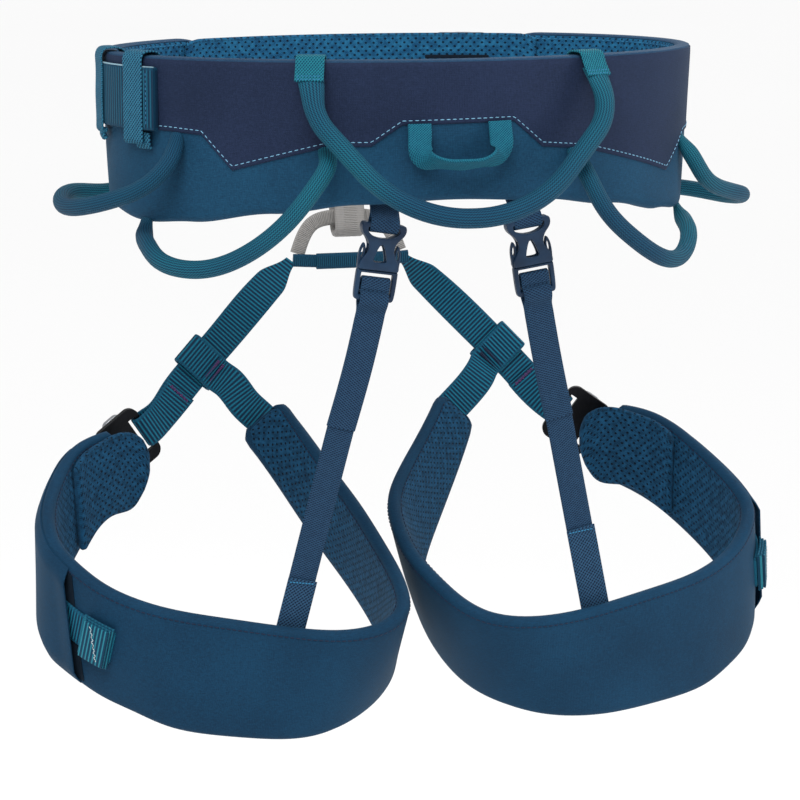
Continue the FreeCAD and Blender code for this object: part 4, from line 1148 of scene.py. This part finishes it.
TONGUE_TIP = (
    ((133, 131, 65, -185), (133, 131, 64, -211)),
    ((139, 137, 64.5, -180), (138, 136, 63.5, -219)),
)
LEG_STRAP_END = {"left": 6.75, "right": 5.45}
LEG_SLEEVE = {"left": (1.5, 5.6), "right": (1.5, 4.5)}
RISER_PATH = (
    (35, 33, 112, -91), (53, 51, 109.5, -108), (83, 81, 102, -138.5), (109, 105, 95, -165),
    (124, 120, 89.5, -180),
)
KEEPER_PATH = ((60, 56, 86.5, -179), (69, 66, 88.6, -170), (78, 77, 93, -158), (86, 87, 97.2, -147))
STRAP_DROPS = (0.32, 0.63)
PAD_THICK = 7.6


def leg_point(point, sign):
    left, right, y, z = point
    return vec(-left if sign < 0 else right, y, z)


class LegPad:
    """The pad's outer face between its top edge and its foot, by station number."""

    def __init__(self, sign):
        self.sign = sign
        count = range(len(LEG_RIM))
        self.top = Curve([leg_point(s[0], sign) for s in LEG_RIM], count)
        self.foot = Curve([leg_point(s[1], sign) for s in LEG_RIM], count)

    def at(self, station, drop, depth, wave=True):
        top, foot = self.top.at(station), self.foot.at(station)
        along = self.top.tangent(station) * (1 - drop) + self.foot.tangent(station) * drop
        wall = unit(foot - top)
        inward = unit(np.cross(wall, along)) * self.sign
        point = top + (foot - top) * drop
        return point + inward * (depth + (ripple(point) if wave else 0.0))

    def height(self, station):
        return float(np.linalg.norm(self.foot.at(station) - self.top.at(station)))

    def place(self, station, h, depth):
        return self.at(station, h / self.height(station), depth)


def build_leg_pad(side, sign):
    pad = LegPad(sign)
    body = "leg_" + side
    values = stations(0.0, len(LEG_RIM) - 1.0, 0.14, 4)
    outer = pad_mesh("leg_outer_" + side, pad.place, values, pad.height,
                     lambda tall: cloth_section(tall, PAD_THICK, 5.2, 0.7), LEG_SHELL, PAD_THICK, 5.0)
    place(outer, body, "shell_cloth", "leg_shell_" + side, "leg_foam_" + side, soft=0.9)
    inner = pad_mesh("leg_lining_mesh_" + side, pad.place, values[2:-2], pad.height,
                     lambda tall: lining_section(tall, PAD_THICK, 3.6, 0.8), LEG_LINING_SHADED, PAD_THICK, 5.0)
    place(inner, body, "mesh_lining", "leg_lining_" + side)
    for label, h, depth in (("outer", 4.3, -0.15), ("inner", 3.9, PAD_THICK + 0.25)):
        seam = [pad.place(v, h, depth) for v in values[6:-6]]
        row = stitches("leg_rim_stitches_%s_%s" % (label, side), seam, DARK_THREAD, 2.4, 0.7, 0.3)
        place(row, body, "shell_cloth")
    build_leg_tongue(side, sign, pad)
    return pad


def build_leg_tongue(side, sign, pad):
    thick = 4.6
    tops = [leg_point(top, sign) for top, foot in TONGUE_TIP]
    feet = [leg_point(foot, sign) for top, foot in TONGUE_TIP]
    lead = unit(tops[0] - tops[1] + feet[0] - feet[1])
    middle = (tops[0] + feet[0]) / 2
    tops.insert(0, middle + (tops[0] - middle) * 0.62 + lead * 2.6)
    feet.insert(0, middle + (feet[0] - middle) * 0.62 + lead * 2.6)
    for station in (0.9, 1.5, 2.1):
        tops.append(pad.at(station, 0.06, PAD_THICK + 1.0, False))
        feet.append(pad.at(station, 0.95, PAD_THICK + 1.0, False))
    run = knots_of([(high + low) / 2 for high, low in zip(tops, feet)])
    high, low = Curve(tops, run), Curve(feet, run)

    def height(t):
        return float(np.linalg.norm(low.at(t) - high.at(t)))

    def place_at(t, h, depth):
        drop = h / height(t)
        wall = unit(low.at(t) - high.at(t))
        along = high.tangent(t) * (1 - drop) + low.tangent(t) * drop
        return high.at(t) + (low.at(t) - high.at(t)) * drop + unit(np.cross(wall, along)) * sign * depth

    tongue = pad_mesh("leg_tongue_mesh_" + side, place_at, stations(0.0, run[-1], 1.8, 4), height,
                      lambda tall: pillow_section(tall, thick, 0.7, 0.6, 8), LEG_LINING_SHADED, thick, 3.0)
    place(tongue, "leg_" + side, "mesh_lining", "leg_tongue_" + side, soft=0.8)


def buckle_frame(sign):
    along = unit(vec(-sign * 0.80, 0.16, 0.58))
    normal = square_to(vec(sign * 0.34, 0.94, 0.0), along)
    across = unit(np.cross(along, normal))
    centre = leg_point(RISER_PATH[-1], sign) - along * 18.0
    return along, normal, across, centre


def riser_wide(sign):
    return vec(-0.74, 0, -0.67 * sign)


def build_riser(side, sign):
    along, normal, across, centre = buckle_frame(sign)
    bar = centre + along * 13.4
    riser = [leg_point(p, sign) for p in RISER_PATH]
    wide = riser_wide(sign)
    across = facing(across, wide)
    reach = 3.15
    flow = unit(riser[1] - riser[0])
    turned = [unit(wide * math.cos(turn) + np.cross(flow, wide) * math.sin(turn)) for turn in (0.95, 0.5)]
    ring = arc_points(bar, normal * reach, -along * reach, math.pi, 8)
    tail = riser[3] + (riser[2] - riser[3]) * 0.12 - normal * 1.75
    path = riser[:4] + [bar + along * 9.0 + normal * 1.6, bar + along * 3.0 + normal * reach] + ring
    path += [bar + along * 3.0 - normal * reach, bar + along * 10.0 - normal * 1.5, tail]
    wides = turned + [wide] * 2 + [across] * (len(ring) + 4) + [wide]
    web = webbing("riser_web_" + side, path, wides, LEG_WEB_WIDTH, WEB_THICK, WEB, 1.5, (18.0, 0.4))
    place(web, "leg_" + side, "webbing", "leg_riser_" + side)
    flow = unit(riser[2] - riser[3])
    wide = square_to(wide, flow)
    back = facing(unit(np.cross(flow, wide)), -FRONT)
    spot = tail - flow * 2.2 + back * 1.1
    bar_tack("riser_tack_%s_22" % side, spot, wide, flow, 14.0, 2.4, PURPLE_THREAD, "leg_" + side)


def bar_tack(name, spot, wide, flow, length, depth, material, body):
    """A dense zig-zag of thread across a strap."""
    points = []
    count = int(length / 0.55)
    for i in range(count + 1):
        offset = depth / 2 if i % 2 else -depth / 2
        points.append(spot + wide * (length * (i / count - 0.5)) + flow * offset)
    row = stitches(name, points, material, 1.9, 0.12, 0.36)
    place(row, body, "webbing")


def build_leg_strap(side, sign, pad):
    along, normal, across, centre = buckle_frame(sign)
    bar = centre - along * 13.4
    away = square_to(vec(sign * 0.86, -0.40, -0.30), across)
    lift = facing(unit(np.cross(across, away)), normal)
    end = LEG_STRAP_END[side]
    middle = sum(STRAP_DROPS) / 2
    reach = 3.35
    path = [bar + away * 9.0 - lift * 1.4, bar + away * 3.0 - lift * reach]
    path += arc_points(bar, -lift * reach, -away * reach, math.pi, 8) + [bar + away * 3.0 + lift * reach]
    wides = [across] * len(path)
    for i in range(22):
        station = 0.9 + (end - 0.9) * i / 21
        path.append(pad.at(station, middle, -(WEB_THICK / 2 + 0.5)))
        wides.append(facing(unit(pad.top.at(station) - pad.foot.at(station)), across))
    web = webbing("leg_strap_web_" + side, path, wides, LEG_WEB_WIDTH, WEB_THICK, WEB, 1.6)
    place(web, "leg_" + side, "webbing", "leg_strap_" + side)
    build_strap_stop(side, pad, end)
    build_sleeve(side, pad)


def build_strap_stop(side, pad, end):
    """The folded and stitched end of the leg strap."""
    layers = []
    for k, (start, stop) in enumerate(((0.80, 0.0), (0.74, 0.03), (0.70, 0.06))):
        values = [end - start + (start - stop) * i / 8 for i in range(9)]
        depth = -(3.3 + 1.45 * k)
        path = [pad.at(v, 0.475, depth) for v in values]
        wides = [unit(pad.top.at(v) - pad.foot.at(v)) for v in values]
        web = webbing("strap_end_%s_%d" % (side, k), path, wides, 25.6 - 1.2 * k, 1.3, STOP_WEB, 1.2)
        layers.append(web)
    place(layers[0], "leg_" + side, "webbing", "leg_strap_stop_" + side)
    for web in layers[1:]:
        place(web, "leg_" + side, "webbing")
    points = []
    for i in range(15):
        station = end - 0.36 + (0.035 if i % 2 else -0.035)
        points.append(pad.at(station, 0.475 + (i / 14 - 0.5) * 0.3, -7.1))
    row = stitches("strap_end_stitches_" + side, points, PALE_YARN, 1.5, 0.2, 0.24)
    place(row, "leg_" + side, "webbing")


def build_sleeve(side, pad):
    start, stop = LEG_SLEEVE[side]
    values = stations(start, stop, 0.12)

    def section_at(station):
        open_end = 1.6 * ease(1 - (stop - station) / 0.5)
        shut_end = ease((station - start) / 0.3)
        rise = 0.4 + (2.6 + open_end) * shut_end
        tall = pad.height(station)
        outer, inner = [], []
        for k in range(19):
            s = k / 18
            dome = min(1.0, math.sin(math.pi * s) * 3.0) ** 0.8 if 0 < s < 1 else 0.0
            h = tall * (0.035 + 0.93 * s)
            outer.append((h, -0.35 - rise * dome - 0.25))
            inner.append((h, -0.35 - rise * dome + 0.55))
        return outer + inner[::-1]

    shapes = [section_at(station) for station in values]
    rings = [[pad.place(station, h, depth) for h, depth in shape] for station, shape in zip(values, shapes)]
    run = knots_of([ring[9] for ring in rings])
    uvs = [[(at * MM, h * MM) for h, depth in shape + shape[:1]] for at, shape in zip(run, shapes)]
    sleeve = build_mesh("leg_sleeve_cloth_" + side, rings, uvs, LEG_SHELL)
    place(sleeve, "leg_" + side, "shell_cloth", "leg_sleeve_" + side)
    # A thin dark sheet just inside the sleeve's open end: painted shade of the gap under the sleeve.
    rings, uvs = [], []
    for i in range(7):
        station = stop - 0.22 + 0.055 * i
        tall = pad.height(station)
        marks = [tall * (0.07 + 0.86 * k / 12) for k in range(13)]
        spots = [(h, 0.45) for h in marks] + [(h, 0.15) for h in marks[::-1]]
        ring = [(h, -0.7 * math.sin(math.pi * h / tall) ** 0.7 - lift) for h, lift in spots]
        rings.append([pad.place(station, h, depth) for h, depth in ring])
        uvs.append([(i * 1.4 * MM, h * MM) for h, lift in spots + spots[:1]])
    mouth = build_mesh("leg_sleeve_mouth_shade_" + side, rings, uvs, SHADE_CLOTH)
    place(mouth, "leg_" + side, "shell_cloth")


def build_keeper_strap(side, sign):
    path = [leg_point(p, sign) for p in KEEPER_PATH]
    riser = [leg_point(p, sign) for p in RISER_PATH]
    along = unit(riser[3] - riser[1])
    cross = square_to(facing(riser_wide(sign), path[-1] - path[0]), along)
    centre = riser[2] + (riser[3] - riser[2]) * 0.32
    lift = facing(unit(np.cross(along, cross)), -FRONT)
    reach = 2.0 + WEB_THICK / 2
    near, far = centre - cross * 10.4, centre + cross * 10.4
    ring = [near + lift * reach] + arc_points(far, lift * reach, cross * reach, math.pi, 8)
    ring += arc_points(near, -lift * reach, -cross * reach, math.pi, 8)
    ring = fill_gaps(ring, 3.0)
    shape = flat_section(LEG_WEB_WIDTH, WEB_THICK)
    web = sweep("keeper_eye_" + side, ring, [along] * len(ring), shape, WEB)
    place(web, "leg_" + side, "webbing", "leg_keeper_strap_" + side)
    path = [path[0] + (path[0] - path[1]) * 0.25] + path[:3]
    path += [near + lift * (reach + 0.2), near + cross * 5.0 + lift * (reach + 1.6)]
    run = webbing("keeper_run_" + side, path, along, LEG_WEB_WIDTH, WEB_THICK, WEB, 1.5)
    place(run, "leg_" + side, "webbing")
    thread = PURPLE_THREAD if sign < 0 else DARK_THREAD
    for shift in (1.0, 4.6):
        spot = near + cross * shift + lift * (reach + 2.3)
        name = "keeper_tack_%s_%d" % (side, shift * 10)
        bar_tack(name, spot, along, cross, 13.0, 2.0, thread, "leg_" + side)


def dress(material, slot, *nodes):
    """Gives CAD nodes that stay visible their finish."""
    for name in nodes:
        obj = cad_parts[name]
        obj.data.materials.clear()
        obj.data.materials.append(material)


build_belt()
build_waist_strap()
build_keepers()
build_waist_buckle_tab()
build_gear_loops()
build_haul_loop()
build_tie_in()
for side_name, side_sign in SIDES:
    build_rear_straps(side_name, side_sign)
    leg_pad = build_leg_pad(side_name, side_sign)
    build_riser(side_name, side_sign)
    build_leg_strap(side_name, side_sign, leg_pad)
    build_keeper_strap(side_name, side_sign)
    build_release_buckle(side_name, side_sign)
    dress(DARK_ALLOY, "dark_alloy", "leg_buckle_frame_" + side_name)
    dress(BRIGHT_ALLOY, "bright_alloy", "leg_buckle_slider_" + side_name)
dress(DARK_ALLOY, "dark_alloy", "waist_buckle_frame")
dress(BRIGHT_ALLOY, "bright_alloy", "waist_buckle_slider")


# ---------------------------------------------------------------- studio

def area_light(name, position, size, power):
    light = bpy.data.lights.new(name, "AREA")
    light.shape = "RECTANGLE"
    light.size, light.size_y = size
    light.energy = power
    obj = bpy.data.objects.new(name, light)
    bpy.context.scene.collection.objects.link(obj)
    obj.location = position
    aim = Vector((0, 0, -0.15)) - Vector(position)
    obj.rotation_euler = aim.to_track_quat("-Z", "Y").to_euler()


def build_studio():
    bpy.ops.mesh.primitive_plane_add(size=80, location=(0, 0, -0.95))
    floor = bpy.context.object
    floor.name = "studio_floor"
    g = Graph("studio_floor", 0.9)
    g.colour(g.blend(g.noise(0.3, 1), (0.97, 0.97, 0.97, 1), (0.99, 0.99, 0.99, 1)))
    floor.data.materials.append(g.material)
    world = bpy.data.worlds.new("studio")
    bpy.context.scene.world = world
    world.use_nodes = True
    world.node_tree.nodes["Background"].inputs[0].default_value = (1, 1, 1, 1)
    world.node_tree.nodes["Background"].inputs[1].default_value = 0.5
    area_light("key", (-0.9, -1.5, 1.1), (0.9, 0.7), 9)
    area_light("rim", (0.9, 1.2, 0.9), (0.9, 0.7), 7)
    area_light("side", (1.5, -0.7, 0.25), (0.7, 0.9), 9)
    sun = bpy.data.lights.new("sky", "SUN")
    sun.energy = 1.9
    sun.angle = math.radians(35)
    sky = bpy.data.objects.new("sky", sun)
    bpy.context.scene.collection.objects.link(sky)
    sky.rotation_euler = Vector((-0.25, -0.5, 0.85)).to_track_quat("Z", "Y").to_euler()
    bpy.context.scene.view_settings.view_transform = "Standard"


def build_camera():
    azimuth, elevation = math.radians(-15.5), math.radians(10.5)
    level = math.cos(elevation)
    back = vec(math.sin(azimuth) * level, -math.cos(azimuth) * level, math.sin(elevation))
    right = unit(np.cross(UP, back))
    target = vec(0, 0, -156.0) + right * 0.56
    camera = bpy.data.cameras.new("camera")
    camera.lens = 136.6
    camera.sensor_width = 36.0
    camera.clip_end = 200
    obj = bpy.data.objects.new("camera", camera)
    bpy.context.scene.collection.objects.link(obj)
    obj.location = tuple((target + back * 1700.0) * MM)
    obj.rotation_euler = Vector(back).to_track_quat("Z", "Y").to_euler()
    bpy.context.scene.camera = obj


build_studio()
build_camera()
